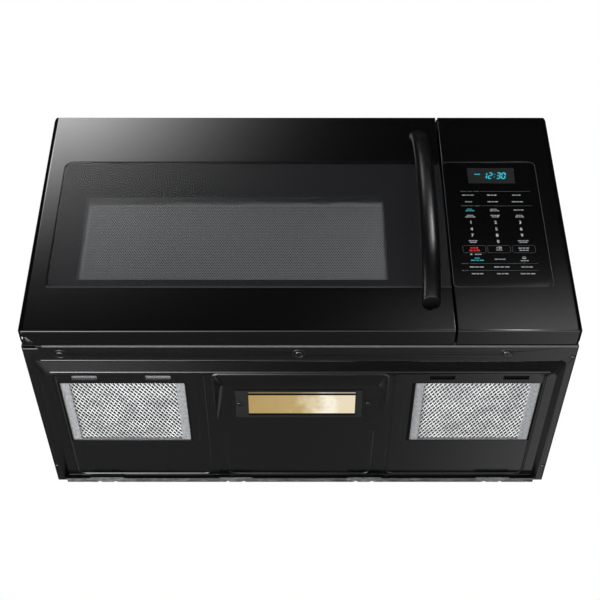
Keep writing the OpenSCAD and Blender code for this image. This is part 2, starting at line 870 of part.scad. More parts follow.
module hv_diode() color([0.12, 0.12, 0.13]) placed() {
    at = [bay_l + 10, capacitor_y, tray_top + 4];
    rod_y(at[0], at[1], at[1] + 24, at[2], 4);
    rod_y(at[0], at[1] - 14, at[1] + 1, at[2], 1);
    block([at[0] - 6, at[1] - 24, tray_top], [at[0] + 6, at[1] - 13, tray_top + 5]);
}

module noise_filter() color([0.15, 0.35, 0.2]) placed() {
    post = 8;
    high = [filter_board[0], filter_board[1]];
    translate([filter_board_at[0], filter_board_at[1], roof_z]) {
        for (x = [6, high[0] - 6], y = [6, high[1] - 6])
            rod_z(x, y, 0, post + 0.1, 3);
        block([0, 0, post], [high[0], high[1], post + filter_board[2]]);
        rod_z(28, 30, post + 1, post + 22, 14);
        block([52, 12, post + 1], [74, 48, post + 20]);
    }
}

module thermal_cutouts() color([0.85, 0.83, 0.78]) placed() {
    for (at = cutout_at) {
        rod_z(at[0], at[1], roof_z, roof_z + 10, 9);
        block([at[0] - 14, at[1] - 5, roof_z], [at[0] + 14, at[1] + 5, roof_z + 1.5]);
        for (x = [-4, 4])
            block([at[0] + x - 0.4, at[1] - 3, roof_z + 9], [at[0] + x + 0.4, at[1] + 3, roof_z + 18]);
    }
}

module cavity_lamp() color([0.9, 0.88, 0.8]) placed() {
    at = [cav_r - 90, case_y + 44];
    block([at[0] - 40, at[1] - 14, roof_z], [at[0] - 20, at[1] + 14, roof_z + 30]);
    rod_x(at[0] - 21, at[0] - 12, at[1], roof_z + 15, 8);
    rod_x(at[0] - 13, at[0] + 14, at[1], roof_z + 15, 10);
    translate([at[0] + 14, at[1], roof_z + 15]) sphere(10);
}

module cooling_fan_frame() color([0.1, 0.1, 0.11]) placed() {
    back = fan_y + fan_depth;
    difference() {
        block([fan_x, fan_y, tray_top], [fan_x + fan_size, back, tray_top + fan_size]);
        rod_y(fan_axis[0], fan_y - past, back + past, fan_axis[1], fan_hole_r);
    }
    for (angle = [45, 135])
        translate([fan_axis[0], fan_y + spider_t / 2, fan_axis[1]]) rotate([0, angle, 0])
            cube([2 * fan_hole_r + 4, spider_t, 6], center = true);
    rod_y(fan_axis[0], fan_y, fan_y + spider_t, fan_axis[1], fan_motor_r);
}

module cooling_fan_motor() color([0.5, 0.51, 0.53]) placed() {
    start = fan_y + spider_t;
    difference() {
        rod_y(fan_axis[0], start, start + 13, fan_axis[1], fan_motor_r - 1);
        rod_y(fan_axis[0], start + 1, start + 14, fan_axis[1], fan_shaft_r + run_gap);
    }
}

module cooling_fan_blade() color([0.85, 0.86, 0.88]) placed() {
    start = fan_y + spider_t + 14;
    translate([fan_axis[0], start, fan_axis[1]]) {
        rod_y(0, -12, 2, 0, fan_shaft_r);
        rod_y(0, 0, 9, 0, fan_hub_r);
        for (i = [0 : 4])
            rotate([0, i * 72, 0]) translate([fan_hub_r - 2, 4.5, 0]) rotate([28, 0, 0])
                translate([0, -0.8, -9]) cube([fan_blade_r - fan_hub_r - 1, 1.6, 18]);
    }
}

module latch_board() color([0.85, 0.85, 0.83]) placed() {
    block([board_x, case_y, hook_z[0] - 14], [board_x + board_t, board_back, hook_z[1] + 40]);
    for (z = hook_z) {
        strike = z - hook_drop - strike_gap;
        block([key_x - 7, case_y, strike - strike_t], [board_x + past, hook_tip, strike]);
        block([key_x - 7, case_y, strike - strike_t], [key_x - 5, hook_tip, strike + 12]);
    }
    block([board_x - 8, case_y, hook_z[0] + 60], [board_x + past, case_y + 3, hook_z[0] + 80]);
}

module interlock_switches() color([0.12, 0.12, 0.13]) placed() {
    for (z = [hook_z[0] - 4, hook_z[1] - 4, hook_z[1] - 4 - switch_h - 3]) {
        block([board_x - switch_w, switch_y, z], [board_x, switch_y + switch_d, z + switch_h]);
        block([key_x - 1.5, switch_y - 2, z + 9], [key_x + 1.5, switch_y + past, z + 13]);
    }
}

module hinge_brackets() color([0.6, 0.61, 0.63]) placed() {
    plate_l = hinge_x - bracket_side;
    both_hinges() {
        block([plate_l, chassis_y - bracket_t, tongue_z],
            [plate_l + bracket_w, chassis_y, tongue_z + bracket_h]);
        block([hinge_x - tongue_w / 2, hinge_y, tongue_z],
            [hinge_x + tongue_w / 2, chassis_y, tongue_z + tongue_t]);
        rod_z(hinge_x, hinge_y, tongue_z, tongue_z + tongue_t, tongue_w / 2);
        rod_z(hinge_x, hinge_y, tongue_z, pin_top, pin_r);
    }
}

module turntable_motor() color([0.66, 0.67, 0.69]) placed() {
    difference() {
        union() {
            rod_z(cav_x, cav_y, motor_low, motor_low + motor_h, motor_r);
            block([cav_x - 34, cav_y - 7, motor_low + motor_h - 1.5],
                [cav_x + 34, cav_y + 7, motor_low + motor_h]);
        }
        rod_z(cav_x, cav_y, shaft_low - 1, motor_low + motor_h + past, motor_shaft_r + run_gap);
    }
}

module turntable_coupler() color([0.9, 0.9, 0.88]) placed() {
    translate([cav_x, cav_y, 0]) {
        rod_z(0, 0, shaft_low, coupler_low + 1, motor_shaft_r);
        rod_z(0, 0, coupler_low, tray_low, coupler_r - 3);
        for (i = [0 : 2])
            rotate([0, 0, i * 120]) rod_z(lobe_at, 0, coupler_low + 2, tray_low, lobe_r);
    }
}

module glass_tray() color([0.75, 0.85, 0.85]) placed() {
    slope = tray_rim_h - tray_t;
    translate([cav_x, cav_y, tray_low]) rotate_extrude()
        polygon([[0, 0], [tray_r - slope, 0], [tray_r, slope], [tray_r, tray_rim_h],
            [tray_r - 3, tray_rim_h], [tray_r - 3 - slope + 1, tray_t], [0, tray_t]]);
}

module roller_ring() color([0.88, 0.88, 0.86]) placed() {
    translate([cav_x, cav_y, roller_z]) {
        difference() {
            rod_z(0, 0, -ring_half_h, ring_half_h, ring_r);
            rod_z(0, 0, -ring_half_h - past, ring_half_h + past, ring_r - ring_wall);
        }
        difference() {
            rod_z(0, 0, -ring_half_h, ring_half_h, hub_in + hub_wall);
            rod_z(0, 0, -ring_half_h - past, ring_half_h + past, hub_in);
        }
        for (i = [0 : 2])
            rotate([0, 0, i * 120 + 30]) {
                block([hub_in + 1, -spoke_w / 2, -2], [ring_r - 2, spoke_w / 2, 2]);
                rod_x(ring_r - 2, axle_end, 0, 0, axle_r);
                rod_x(axle_end - axle_cap_t, axle_end, 0, 0, axle_cap_r);
            }
    }
}

module roller(index) {
    translate([cav_x, cav_y, roller_z]) rotate([0, 0, index * 120 + 30])
        difference() {
            rod_x(roller_in, roller_in + roller_t, 0, 0, roller_r);
            rod_x(roller_in - past, roller_in + roller_t + past, 0, 0, axle_r + run_gap);
        }
}

module roller_1() color([0.92, 0.92, 0.9]) placed() {
    roller(0);
}

module roller_2() color([0.92, 0.92, 0.9]) placed() {
    roller(1);
}

module roller_3() color([0.92, 0.92, 0.9]) placed() {
    roller(2);
}

module cooktop_lamp_housing() color([0.8, 0.81, 0.83]) placed() {
    low = [lens_x - lens_w / 2 - 3, wedge_deep_y + lens_at - 1, lamp_box_low];
    high = [lens_x + lens_w / 2 + 3, wedge_deep_y + lens_at + lens_d - 1, lamp_box_low + lamp_box_h];
    difference() {
        block(low, high);
        block(low + [sheet_t, sheet_t, -past], high - [sheet_t, sheet_t, sheet_t]);
    }
}

module cooktop_lamp_bulb() color([1, 0.93, 0.75]) placed() {
    y = wedge_deep_y + lens_at + lens_d / 2;
    z = lamp_box_low + lamp_box_h - sheet_t - lamp_bulb_r - 2;
    half = lamp_bulb_len / 2;
    rod_x(lens_x - half, lens_x + half, y, z, lamp_bulb_r);
    for (side = [-1, 1])
        translate([lens_x + side * (half + 4), y, 0])
            block([-5, -7, z - 7], [5, 7, lamp_box_low + lamp_box_h - sheet_t]);
}

module lamp_cover() color([0.1, 0.1, 0.105]) placed() {
    on_wedge() difference() {
        block([lamp_x - lamp_plate_w / 2, lamp_at, -lamp_plate_t],
            [lamp_x + lamp_plate_w / 2, lamp_at + lamp_plate_d, 0]);
        block([lens_x - lens_w / 2, lens_at, -lamp_plate_t - past],
            [lens_x + lens_w / 2, lens_at + lens_d, past]);
        rod_z(lamp_screw_x[0], lamp_at + lamp_plate_d / 2, -lamp_plate_t - past, past,
            screw_hole_r);
    }
}

module lamp_lens() color([0.95, 0.85, 0.6, 0.6]) placed() {
    on_wedge()
        block([lens_x - lens_w / 2 + lens_gap, lens_at + lens_gap, -lens_proud],
            [lens_x + lens_w / 2 - lens_gap, lens_at + lens_d - lens_gap, lens_t - lens_proud]);
}

module lamp_screws() color([0.3, 0.31, 0.32]) placed() {
    on_wedge()
        for (i = [0, 1]) {
            y = lamp_at + lamp_plate_d / 2;
            under = i == 0 ? -lamp_plate_t : 0;
            rod_z(lamp_screw_x[i], y, under - lamp_screw_h, under, lamp_screw_r);
            rod_z(lamp_screw_x[i], y, under - 0.5, 5, screw_shank_r);
        }
}

// Pan-head screw with a cross recess, head down
module pan_screw(at, head_r) {
    difference() {
        rod_z(at[0], at[1], -screw_head_h, 0, head_r);
        for (size = [[head_r, 1.2], [1.2, head_r]])
            translate([at[0], at[1], -screw_head_h]) cube([size[0], size[1], 1.4], center = true);
    }
    rod_z(at[0], at[1], -0.5, screw_len, screw_shank_r);
}

module base_screws() color([0.3, 0.31, 0.32]) placed() {
    for (at = front_screws)
        pan_screw(at, base_screw_r);
    for (at = side_screws)
        pan_screw(at, side_screw_r);
}

module filter_frame(side) {
    translate([side * filter_x, 0, filter_z])
        difference() {
            block([-filter_w / 2, filter_y, 0], [filter_w / 2, filter_y + filter_d, filter_t]);
            block([-filter_w / 2 + filter_end_w, filter_open_y, -past],
                [filter_w / 2 - filter_end_w, filter_open_y + filter_open_d, filter_t + past]);
        }
}

module filter_mesh(side) {
    low = (filter_t - mesh_t) / 2;
    translate([side * filter_x, 0, filter_z])
        block([-filter_w / 2 + filter_end_w, filter_open_y, low],
            [filter_w / 2 - filter_end_w, filter_open_y + filter_open_d, low + mesh_t]);
}

module filter_frame_left() color([0.82, 0.83, 0.85]) placed() {
    filter_frame(-1);
}

module filter_mesh_left() color([0.7, 0.71, 0.73]) placed() {
    filter_mesh(-1);
}

module filter_frame_right() color([0.82, 0.83, 0.85]) placed() {
    filter_frame(1);
}

module filter_mesh_right() color([0.7, 0.71, 0.73]) placed() {
    filter_mesh(1);
}

module control_panel() color([0.05, 0.05, 0.055]) placed() {
    pocket_z = [inset_low, inset_top];
    difference() {
        union() {
            difference() {
                mirror([1, 0, 0]) fascia_body(-panel_r, -panel_l);
                block([panel_l + fascia_wall, fascia_wall + overlay_t, fascia_wall],
                    [panel_r - fascia_wall, fascia_t + past, body_h - fascia_wall]);
            }
            for (x = [panel_l + pcb_side + post_in, inset_end - pcb_side - post_in + 6],
                z = [pcb_low + post_in, pcb_low + pcb_h - post_in])
                rod_y(x, fascia_wall + 1, pcb_y, z, post_r);
            for (x = [panel_l + 2, panel_r - 6 - panel_foot], z = [40, body_h - 60])
                block([x + 1, fascia_wall + 1, z], [x + panel_foot, chassis_y, z + panel_foot]);
        }
        mirror([1, 0, 0]) upright(-past, overlay_t)
            rounded([-inset_end, pocket_z[0]], [-panel_l + 2 * past, pocket_z[1]], inset_r, 1);
        block([panel_l + membrane_side, overlay_t - past, inset_low + membrane_low],
            [inset_end - membrane_side, overlay_t + membrane_t,
                inset_low + membrane_low + membrane_h]);
        block([panel_l + display_side, -past, inset_low + display_low],
            [panel_l + display_side + display_w, fascia_t, inset_low + display_low + display_h]);
    }
}

module control_overlay() color([0.02, 0.02, 0.022]) placed() {
    mirror([1, 0, 0]) upright(0, overlay_t)
        rounded([-inset_end + groove, inset_low + groove], [-panel_l, inset_top - groove],
            inset_r - groove, 1);
}

module key_membrane() color([0.3, 0.32, 0.35]) placed() {
    block([panel_l + membrane_side, overlay_t, inset_low + membrane_low],
        [inset_end - membrane_side, overlay_t + membrane_t, inset_low + membrane_low + membrane_h]);
}

module display_module() color([0.1, 0.25, 0.3]) placed() {
    side = 1;
    block([panel_l + display_side + side, pcb_y - display_t, inset_low + display_low + side],
        [panel_l + display_side + display_w - side, pcb_y,
            inset_low + display_low + display_h - side]);
}

module control_board() color([0.12, 0.35, 0.2]) placed() {
    low = [panel_l + pcb_side, pcb_y, pcb_low];
    high = [inset_end - pcb_side + 6, pcb_y + pcb_t, pcb_low + pcb_h];
    block(low, high);
    block([low[0] + 14, pcb_y + pcb_t / 2, pcb_low + 20], [low[0] + 50, pcb_y + 12, pcb_low + 56]);
    for (z = [80, 104, 128])
        block([low[0] + 60, pcb_y + pcb_t / 2, pcb_low + z], [low[0] + 78, pcb_y + 11, pcb_low + z + 16]);
    rod_y(low[0] + 34, pcb_y + pcb_t / 2, pcb_y + 12, pcb_low + 90, 8);
}

module door_frame() color([0.05, 0.05, 0.055]) placed() {
    wall = fascia_wall;
    difference() {
        union() {
            difference() {
                fascia_body(door_l, door_r);
                block([door_l + wall, wall, wall], [door_r - wall, fascia_t + past, body_h - wall]);
            }
            block([inset_l - wall, wall - past, inset_low - wall],
                [door_r - wall + past, ledge_back, inset_top + wall]);
            both_hinges() {
                rod_z(hinge_x, hinge_y, slot_high, boss_top, boss_r);
                block([door_l + wall - past, hinge_y - 3, slot_high], [hinge_x, hinge_y + 3, boss_top]);
                block([hinge_x - 2, wall - past, slot_high], [hinge_x + 2, hinge_y, boss_top]);
            }
        }
        upright(-past, glass_t)
            rounded([inset_l, inset_low], [door_r + 2 * past, inset_top], inset_r, 1);
        block([win_l - view_lip, 0, win_low - view_lip],
            [win_r + view_lip, ledge_back + past, win_top + view_lip]);
        both_hinges() {
            rod_z(hinge_x, hinge_y, slot_high - past, pin_top + 1, pin_r + run_gap);
            block([door_l - past, slot_front, slot_low],
                [hinge_x + boss_r + 4, fascia_t + past, slot_high]);
            translate([0, 0, -past]) linear_extrude(slot_low + 2 * past)
                polygon([[door_l + pocket_side, pocket_front],
                    [door_l + pocket_side + pocket_narrow, pocket_front],
                    [door_l + pocket_side + pocket_wide, fascia_t - 3],
                    [door_l + pocket_side + pocket_wide, fascia_t + past],
                    [door_l + pocket_side, fascia_t + past]]);
        }
        for (z = foot_z)
            rod_y(handle_x, -past, fascia_wall + past, z, handle_screw_r + 0.2);
    }
}

module door_glass() color([0.08, 0.08, 0.09, 0.6]) placed() {
    upright(0, glass_t)
        rounded([inset_l + groove, inset_low + groove], [door_r, inset_top - groove],
            inset_r - groove, 1);
}

module door_inner_panel() color([0.12, 0.12, 0.125]) placed() {
    low = [door_l + fascia_wall + seat, panel_y, fascia_wall + seat];
    high = [door_r - fascia_wall - seat, panel_y + panel_t, body_h - fascia_wall - seat];
    clear = hinge_x + boss_r + 9;
    difference() {
        block(low, high);
        block([choke_l, panel_y - past, choke_low], [choke_r, cover_y + past, choke_top]);
        both_hinges()
            block([door_l, panel_y - past, 0], [clear, cover_y + past, boss_top + 7]);
        for (z = hook_z)
            block([key_x - hook_t / 2 - 1, panel_y - past, z - hook_drop - 1],
                [key_x + hook_t / 2 + 1, cover_y + past, z + hook_h + latch_travel + 1]);
    }
    side = key_w / 2 + key_gap;
    front = key_front - key_gap;
    for (z = bridge_z) {
        for (x = [key_x - side - bridge_wall, key_x + side])
            block([x, front - bridge_wall, z],
                [x + bridge_wall, panel_y + past / 2, z + bridge_h]);
        block([key_x - side - bridge_wall, front - bridge_wall, z],
            [key_x + side + bridge_wall, front, z + bridge_h]);
    }
    top = spring_low + spring_len;
    block([key_x - 5, spring_y - 4, top], [key_x + side + bridge_wall, front, top + tab_t]);
    block([key_x + side, front - past, top], [key_x + side + bridge_wall, panel_y + past / 2,
        top + tab_t]);
}

module door_choke() color([0.45, 0.46, 0.47]) placed() {
    difference() {
        block([choke_l, choke_front, choke_low], [choke_r, cover_y, choke_top]);
        block([choke_l + sheet_t, choke_front + sheet_t, choke_low + sheet_t],
            [choke_r - sheet_t, cover_y + past, choke_top - sheet_t]);
        block([win_l - view_lip, 0, win_low - view_lip],
            [win_r + view_lip, cover_y, win_top + view_lip]);
    }
    difference() {
        block([win_l - ring_gap - sheet_t, choke_front + sheet_t / 2, win_low - ring_gap - sheet_t],
            [win_r + ring_gap + sheet_t, pane_y, win_top + ring_gap + sheet_t]);
        block([win_l - ring_gap, 0, win_low - ring_gap],
            [win_r + ring_gap, fascia_t, win_top + ring_gap]);
    }
}

module door_screen() color([0.2, 0.2, 0.21]) placed() {
    start = choke_front + sheet_t;
    block([win_l - ring_gap, start, win_low - ring_gap],
        [win_r + ring_gap, start + screen_t, win_top + ring_gap]);
}

module inner_window() color([0.6, 0.65, 0.66, 0.4]) placed() {
    block([win_l - pane_lip, pane_y, win_low - pane_lip],
        [win_r + pane_lip, pane_y + pane_t, win_top + pane_lip]);
}

module choke_cover() color([0.09, 0.09, 0.095]) placed() {
    difference() {
        union() {
            block([choke_l - cover_over, cover_y, choke_low - cover_over],
                [choke_r + cover_over, fascia_t, choke_top + cover_over]);
            block([win_l - pane_lip, pane_y + pane_t, win_low - pane_lip],
                [win_r + pane_lip, fascia_t, win_top + pane_lip]);
        }
        block([win_l - view_lip, 0, win_low - view_lip],
            [win_r + view_lip, fascia_t + past, win_top + view_lip]);
    }
}

// Outline of the handle bar: a flat strip with full round sides
module bar_outline(radius) {
    round_r = handle_t / 2;
    half = handle_w / 2 - round_r;
    translate([radius - round_r, -half]) square([handle_t, 2 * half]);
    for (side = [-1, 1])
        translate([radius, side * half]) circle(round_r);
}

// Bow of the bar in the y-z plane, about a centre, from one angle to another
module bow(center_y, center_z, radius, from, to) {
    translate([handle_x, center_y, center_z]) rotate([90, 0, -90]) rotate([0, 0, from])
        rotate_extrude(angle = to - from, $fn = 96) bar_outline(radius);
}

module handle() color([0.04, 0.04, 0.045]) placed() {
    a1 = handle_mid_angle;
    a2 = handle_end_angle + handle_over;
    mid_y = handle_mid_r - handle_crest;
    end_y = mid_y - (handle_mid_r - handle_end_r) * cos(a1);
    end_z = (handle_mid_r - handle_end_r) * sin(a1);
    difference() {
        union() {
            intersection() {
                union() {
                    bow(mid_y, handle_mid_z, handle_mid_r, -a1, a1);
                    bow(end_y, handle_mid_z + end_z, handle_end_r, a1, a2);
                    bow(end_y, handle_mid_z - end_z, handle_end_r, -a2, -a1);
                    // Core across each seam between two bows
                    for (side = [-1, 1])
                        translate([handle_x, mid_y - handle_mid_r * cos(a1),
                            handle_mid_z + side * handle_mid_r * sin(a1)]) sphere(handle_t / 4);
                }
                block([handle_x - handle_w, -2 * handle_out, handle_low],
                    [handle_x + handle_w, 0, handle_low + handle_len]);
            }
            for (z = foot_z)
                rod_y(handle_x, -handle_stand - 8, 0, z, foot_r);
        }
        for (z = foot_z)
            rod_y(handle_x, -handle_screw_len - past, past, z, handle_screw_r + 0.1);
    }
}

module handle_screws() color([0.6, 0.61, 0.63]) placed() {
    for (z = foot_z) {
        rod_y(handle_x, -handle_screw_len, fascia_wall + past, z, handle_screw_r);
        rod_y(handle_x, fascia_wall, fascia_wall + handle_head_h, z, handle_head_r);
    }
}

module latch_key() color([0.9, 0.9, 0.88]) placed() {
    block([key_x - key_w / 2, key_front, key_low], [key_x + key_w / 2, key_back, key_high]);
    for (z = hook_z)
        translate([key_x - hook_t / 2, 0, z]) rotate([90, 0, 90]) linear_extrude(hook_t)
            polygon([[key_back - past, 0], [hook_tip - 9, 0], [hook_tip - 9, -hook_drop],
                [hook_tip - 5, -hook_drop], [hook_tip, 3], [hook_tip, hook_h - 2],
                [hook_tip - 2, hook_h], [key_back - past, hook_h]]);
    block([key_x - 4, spring_y - 4, spring_low - tab_t], [key_x + 4, key_front + past / 2, spring_low]);
}

// Coil spring: rings of a wire section carried round a helix
module latch_spring() color([0.7, 0.71, 0.73]) placed() {
    steps = 12;
    sides = 6;
    rings = spring_turns * steps;
    low = spring_low + wire_r + 0.1;
    pitch = (spring_len - 2 * wire_r - 0.2) / rings;
    ring_points = [for (i = [0 : rings], j = [0 : sides - 1])
        let (turn = i * 360 / steps, around = j * 360 / sides, r = spring_r + wire_r * cos(around))
        [r * cos(turn), r * sin(turn), low + i * pitch + wire_r * sin(around)]];
    tube = [for (i = [0 : rings - 1], j = [0 : sides - 1], half = [0, 1])
        let (k = (j + 1) % sides, a = i * sides + j, b = i * sides + k)
        half == 0 ? [a, a + sides, b] : [b, a + sides, b + sides]];
    first = [[for (j = [0 : sides - 1]) j]];
    last = [[for (j = [sides - 1 : -1 : 0]) rings * sides + j]];
    translate([key_x, spring_y, 0])
        polyhedron(points = ring_points, faces = concat(tube, first, last));
}

outer_case();
back_plate();
base_pan();
front_plate();
oven_cavity();
component_tray();
vent_grille();
charcoal_filter();
cord_grommet();
blower_housing();
blower_motor();
blower_wheels();
waveguide();
waveguide_cover();
magnetron();
hv_transformer();
hv_capacitor();
hv_diode();
noise_filter();
thermal_cutouts();
cavity_lamp();
cooling_fan_frame();
cooling_fan_motor();
cooling_fan_blade();
latch_board();
interlock_switches();
hinge_brackets();
turntable_motor();
turntable_coupler();
glass_tray();
roller_ring();
roller_1();
roller_2();
roller_3();
cooktop_lamp_housing();
cooktop_lamp_bulb();
lamp_cover();
lamp_lens();
lamp_screws();
base_screws();
filter_frame_left();
filter_mesh_left();
filter_frame_right();
filter_mesh_right();
control_panel();
control_overlay();
key_membrane();
display_module();
control_board();
door_frame();
door_glass();
door_inner_panel();
door_choke();
door_screen();
inner_window();
choke_cover();
handle();
handle_screws();
latch_key();
latch_spring();
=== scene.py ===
# %% [markdown]
# # Over-the-range microwave oven, seen from below
# The object is a black microwave oven that hangs over a cooktop: a wide door with a bow handle, a keypad,
# a turntable behind the door, and a hood underneath with two mesh grease filters and a lamp.
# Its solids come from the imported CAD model. This lesson gives them finishes, and models in Blender what
# shows up close: softened edges, the metal mesh of the filters, the printed keys, the beads pressed in
# the underside.

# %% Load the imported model
import json
import math
import bpy
import bmesh
from mathutils import Matrix, Vector

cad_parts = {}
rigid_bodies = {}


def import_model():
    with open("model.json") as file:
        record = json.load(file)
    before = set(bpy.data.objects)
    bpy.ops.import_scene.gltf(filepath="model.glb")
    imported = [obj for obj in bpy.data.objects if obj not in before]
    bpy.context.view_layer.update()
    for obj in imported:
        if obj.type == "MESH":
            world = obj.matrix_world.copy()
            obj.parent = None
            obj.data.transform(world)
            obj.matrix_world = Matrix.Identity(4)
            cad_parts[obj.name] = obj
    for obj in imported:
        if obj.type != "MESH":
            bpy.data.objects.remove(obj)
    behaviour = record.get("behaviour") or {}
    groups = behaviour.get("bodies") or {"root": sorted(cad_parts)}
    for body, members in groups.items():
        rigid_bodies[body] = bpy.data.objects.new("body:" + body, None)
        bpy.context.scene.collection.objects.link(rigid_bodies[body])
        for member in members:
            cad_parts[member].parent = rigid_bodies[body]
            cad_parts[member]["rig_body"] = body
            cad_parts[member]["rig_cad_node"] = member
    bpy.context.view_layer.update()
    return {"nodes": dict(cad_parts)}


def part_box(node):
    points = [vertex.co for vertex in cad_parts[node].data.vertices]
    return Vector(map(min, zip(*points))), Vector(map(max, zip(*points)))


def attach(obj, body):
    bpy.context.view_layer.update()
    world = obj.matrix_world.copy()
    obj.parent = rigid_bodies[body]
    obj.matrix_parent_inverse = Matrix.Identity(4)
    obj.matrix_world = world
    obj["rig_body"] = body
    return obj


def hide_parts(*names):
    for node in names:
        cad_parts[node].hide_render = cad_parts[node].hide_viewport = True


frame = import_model()
print("solids loaded:", len(frame["nodes"]))

# %% [markdown]
# All sizes below are in millimetres from the middle of the door's glass face: x to the right, y towards
# the wall, z up from the underside's flange. One function turns such a place into Blender's metres. Its
# zero is read from the solids, so it follows them if they change.

# %% Places in millimetres
glass_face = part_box("door_glass")[0][1]
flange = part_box("base_pan")[0][2]
origin = Vector((0, glass_face, flange))


def at(x, y, z):
    return Vector((x, y, z)) / 1000 + origin


def limits(node):
    low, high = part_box(node)
    return (Vector(low) - origin) * 1000, (Vector(high) - origin) * 1000


print("glass face at y", round(glass_face, 4), "and flange at z", round(flange, 4))

# %% [markdown]
# The photograph was taken from well below and in front, with the camera tilted up by 39 degrees. The
# corners of the door, the window and the filters were measured in the picture and the camera was
# solved from them, so it is placed by numbers and not by eye.

# %% Camera
lens = bpy.data.cameras.new("Camera")
lens.lens = 76.26
lens.sensor_width = 36
lens.clip_start = 0.02
camera = bpy.data.objects.new("Camera", lens)
camera.location = at(-0.2, -1344, -1040)
camera.rotation_euler = (math.radians(90 + 39.13), 0, 0)
bpy.context.collection.objects.link(camera)
bpy.context.scene.camera = camera
bpy.context.scene.view_settings.view_transform = "Standard"
print("camera:", round(lens.lens, 2), "mm, at", [round(v, 3) for v in camera.location])

# %% [markdown]
# Colours are written as the hex values that a picture editor shows. Blender's shaders work in linear
# light, so one function converts them. Another adds a shader node with its settings and its links, and
# a third leads a node's result into a socket of a material's shader. The last makes a material, with
# the values that are the same all over set on the shader itself.

# %% Colours, nodes and materials
def ink(code, alpha=1.0):
    parts = [int(code[i:i + 2], 16) / 255 for i in (1, 3, 5)]
    return tuple(v / 12.92 if v <= 0.04045 else ((v + 0.055) / 1.055) ** 2.4 for v in parts) + (alpha,)


def add(tree, kind, inputs=None, stops=None, **settings):
    node = tree.nodes.new(kind)
    for name, value in settings.items():
        setattr(node, name, value)
    for name, value in (inputs or {}).items():
        if isinstance(value, bpy.types.Node):
            value = value.outputs[0]
        if isinstance(value, bpy.types.NodeSocket):
            tree.links.new(value, node.inputs[name])
        else:
            node.inputs[name].default_value = value
    for i, (where, code) in enumerate(stops or []):
        stop = node.color_ramp.elements[i] if i < 2 else node.color_ramp.elements.new(where)
        stop.position, stop.color = where, ink(code)
    return node


def feed(made, socket, node):
    shader = made.node_tree.nodes["Principled BSDF"]
    made.node_tree.links.new(node.outputs[0], shader.inputs[socket])


def material(name, colour, roughness, metallic=0.0, **even):
    made = bpy.data.materials.new(name)
    made.use_nodes = True
    made.diffuse_color = ink(colour)
    shader = made.node_tree.nodes["Principled BSDF"]
    shader.inputs["Base Color"].default_value = ink(colour)
    shader.inputs["Roughness"].default_value = roughness
    shader.inputs["Metallic"].default_value = metallic
    for key, value in even.items():
        shader.inputs[key.replace("_", " ")].default_value = value
    return made


# %% [markdown]
# Two kinds of surface detail come back on many parts: a mottled colour and gloss, and a fine relief.
# Both read Object coordinates, so their scale is a real size: a noise of scale 1000 / 3 has spots about
# 3 mm wide, because Blender counts in metres. Stretching the coordinates turns the spots into the
# streaks of rolled or brushed metal.

# %% Surface detail
def mottle(made, size, dark, light, gloss=None, stretch=(1, 1, 1)):
    tree = made.node_tree
    spot = add(tree, "ShaderNodeTexCoord")
    spread = add(tree, "ShaderNodeMapping", {"Vector": spot.outputs["Object"], "Scale": stretch})
    noise = add(tree, "ShaderNodeTexNoise", {"Vector": spread, "Scale": 1000 / size,
                                             "Detail": 3.0, "Roughness": 0.6})
    shade = add(tree, "ShaderNodeValToRGB", {"Fac": noise}, [(0.3, dark), (0.7, light)])
    feed(made, "Base Color", shade)
    if gloss:
        polish = add(tree, "ShaderNodeMapRange", {"Value": noise, "From Min": 0.3, "From Max": 0.7,
                                                  "To Min": gloss[0], "To Max": gloss[1]})
        feed(made, "Roughness", polish)
    return made


def relief(made, size, strength, height=0.1, stretch=(1, 1, 1)):
    tree = made.node_tree
    spot = add(tree, "ShaderNodeTexCoord")
    spread = add(tree, "ShaderNodeMapping", {"Vector": spot.outputs["Object"], "Scale": stretch})
    noise = add(tree, "ShaderNodeTexNoise", {"Vector": spread, "Scale": 1000 / size, "Detail": 2.0})
    bump = add(tree, "ShaderNodeBump", {"Height": noise, "Strength": strength,
                                        "Distance": height / 1000})
    feed(made, "Normal", bump)
    return made


# %% [markdown]
# The room is a pale floor far below the oven, and a white surround that the camera sees directly, in
# reflections and through glass. Light Path tells such rays from the others, for which the surround is
# only a weak, even light, so that a white background doesn't wash the object out.

# %% Floor and surround
bpy.ops.object.select_all(action="DESELECT")
bpy.ops.mesh.primitive_plane_add(size=14, location=at(0, 1200, -1600))
floor = bpy.context.object
floor.name = "studio_floor"
# A painted floor: matt, pale, faintly uneven.
floor.data.materials.append(mottle(material("painted floor", "#dcdcdc", 0.85, Specular_IOR_Level=0.2), 600,
                                   "#d8d8d8", "#e2e2e2"))

world = bpy.data.worlds.new("Studio")
world.use_nodes = True
bpy.context.scene.world = world
sky = world.node_tree
sky.nodes.clear()
seen = add(sky, "ShaderNodeLightPath")
straight = add(sky, "ShaderNodeMath", {0: seen.outputs["Is Camera Ray"], 1: seen.outputs["Is Glossy Ray"]},
               operation="MAXIMUM")
through = add(sky, "ShaderNodeMath", {0: straight, 1: seen.outputs["Is Transmission Ray"]},
              operation="MAXIMUM")
fill = add(sky, "ShaderNodeBackground", {"Color": ink("#ffffff"), "Strength": 0.35})
white = add(sky, "ShaderNodeBackground", {"Color": ink("#ffffff"), "Strength": 1.0})
both = add(sky, "ShaderNodeMixShader", {0: through, 1: fill, 2: white})
add(sky, "ShaderNodeOutputWorld", {"Surface": both})
print("floor at z", round(floor.location.z, 2))

# %% [markdown]
# A glossy black object shows only what it mirrors, so in a studio it is kept black with dark cloth all
# round, and a few soft lights shine on it. That cloth is a tent here, out of the camera's sight, whose
# glow is a dim level with round soft spots: one high on the left and a weak one low on the right for
# the front, and more that give the underside and the handle their shine. Each spot fades with the
# square of the distance from its middle, as a bell curve does, so no spot has a hard edge.

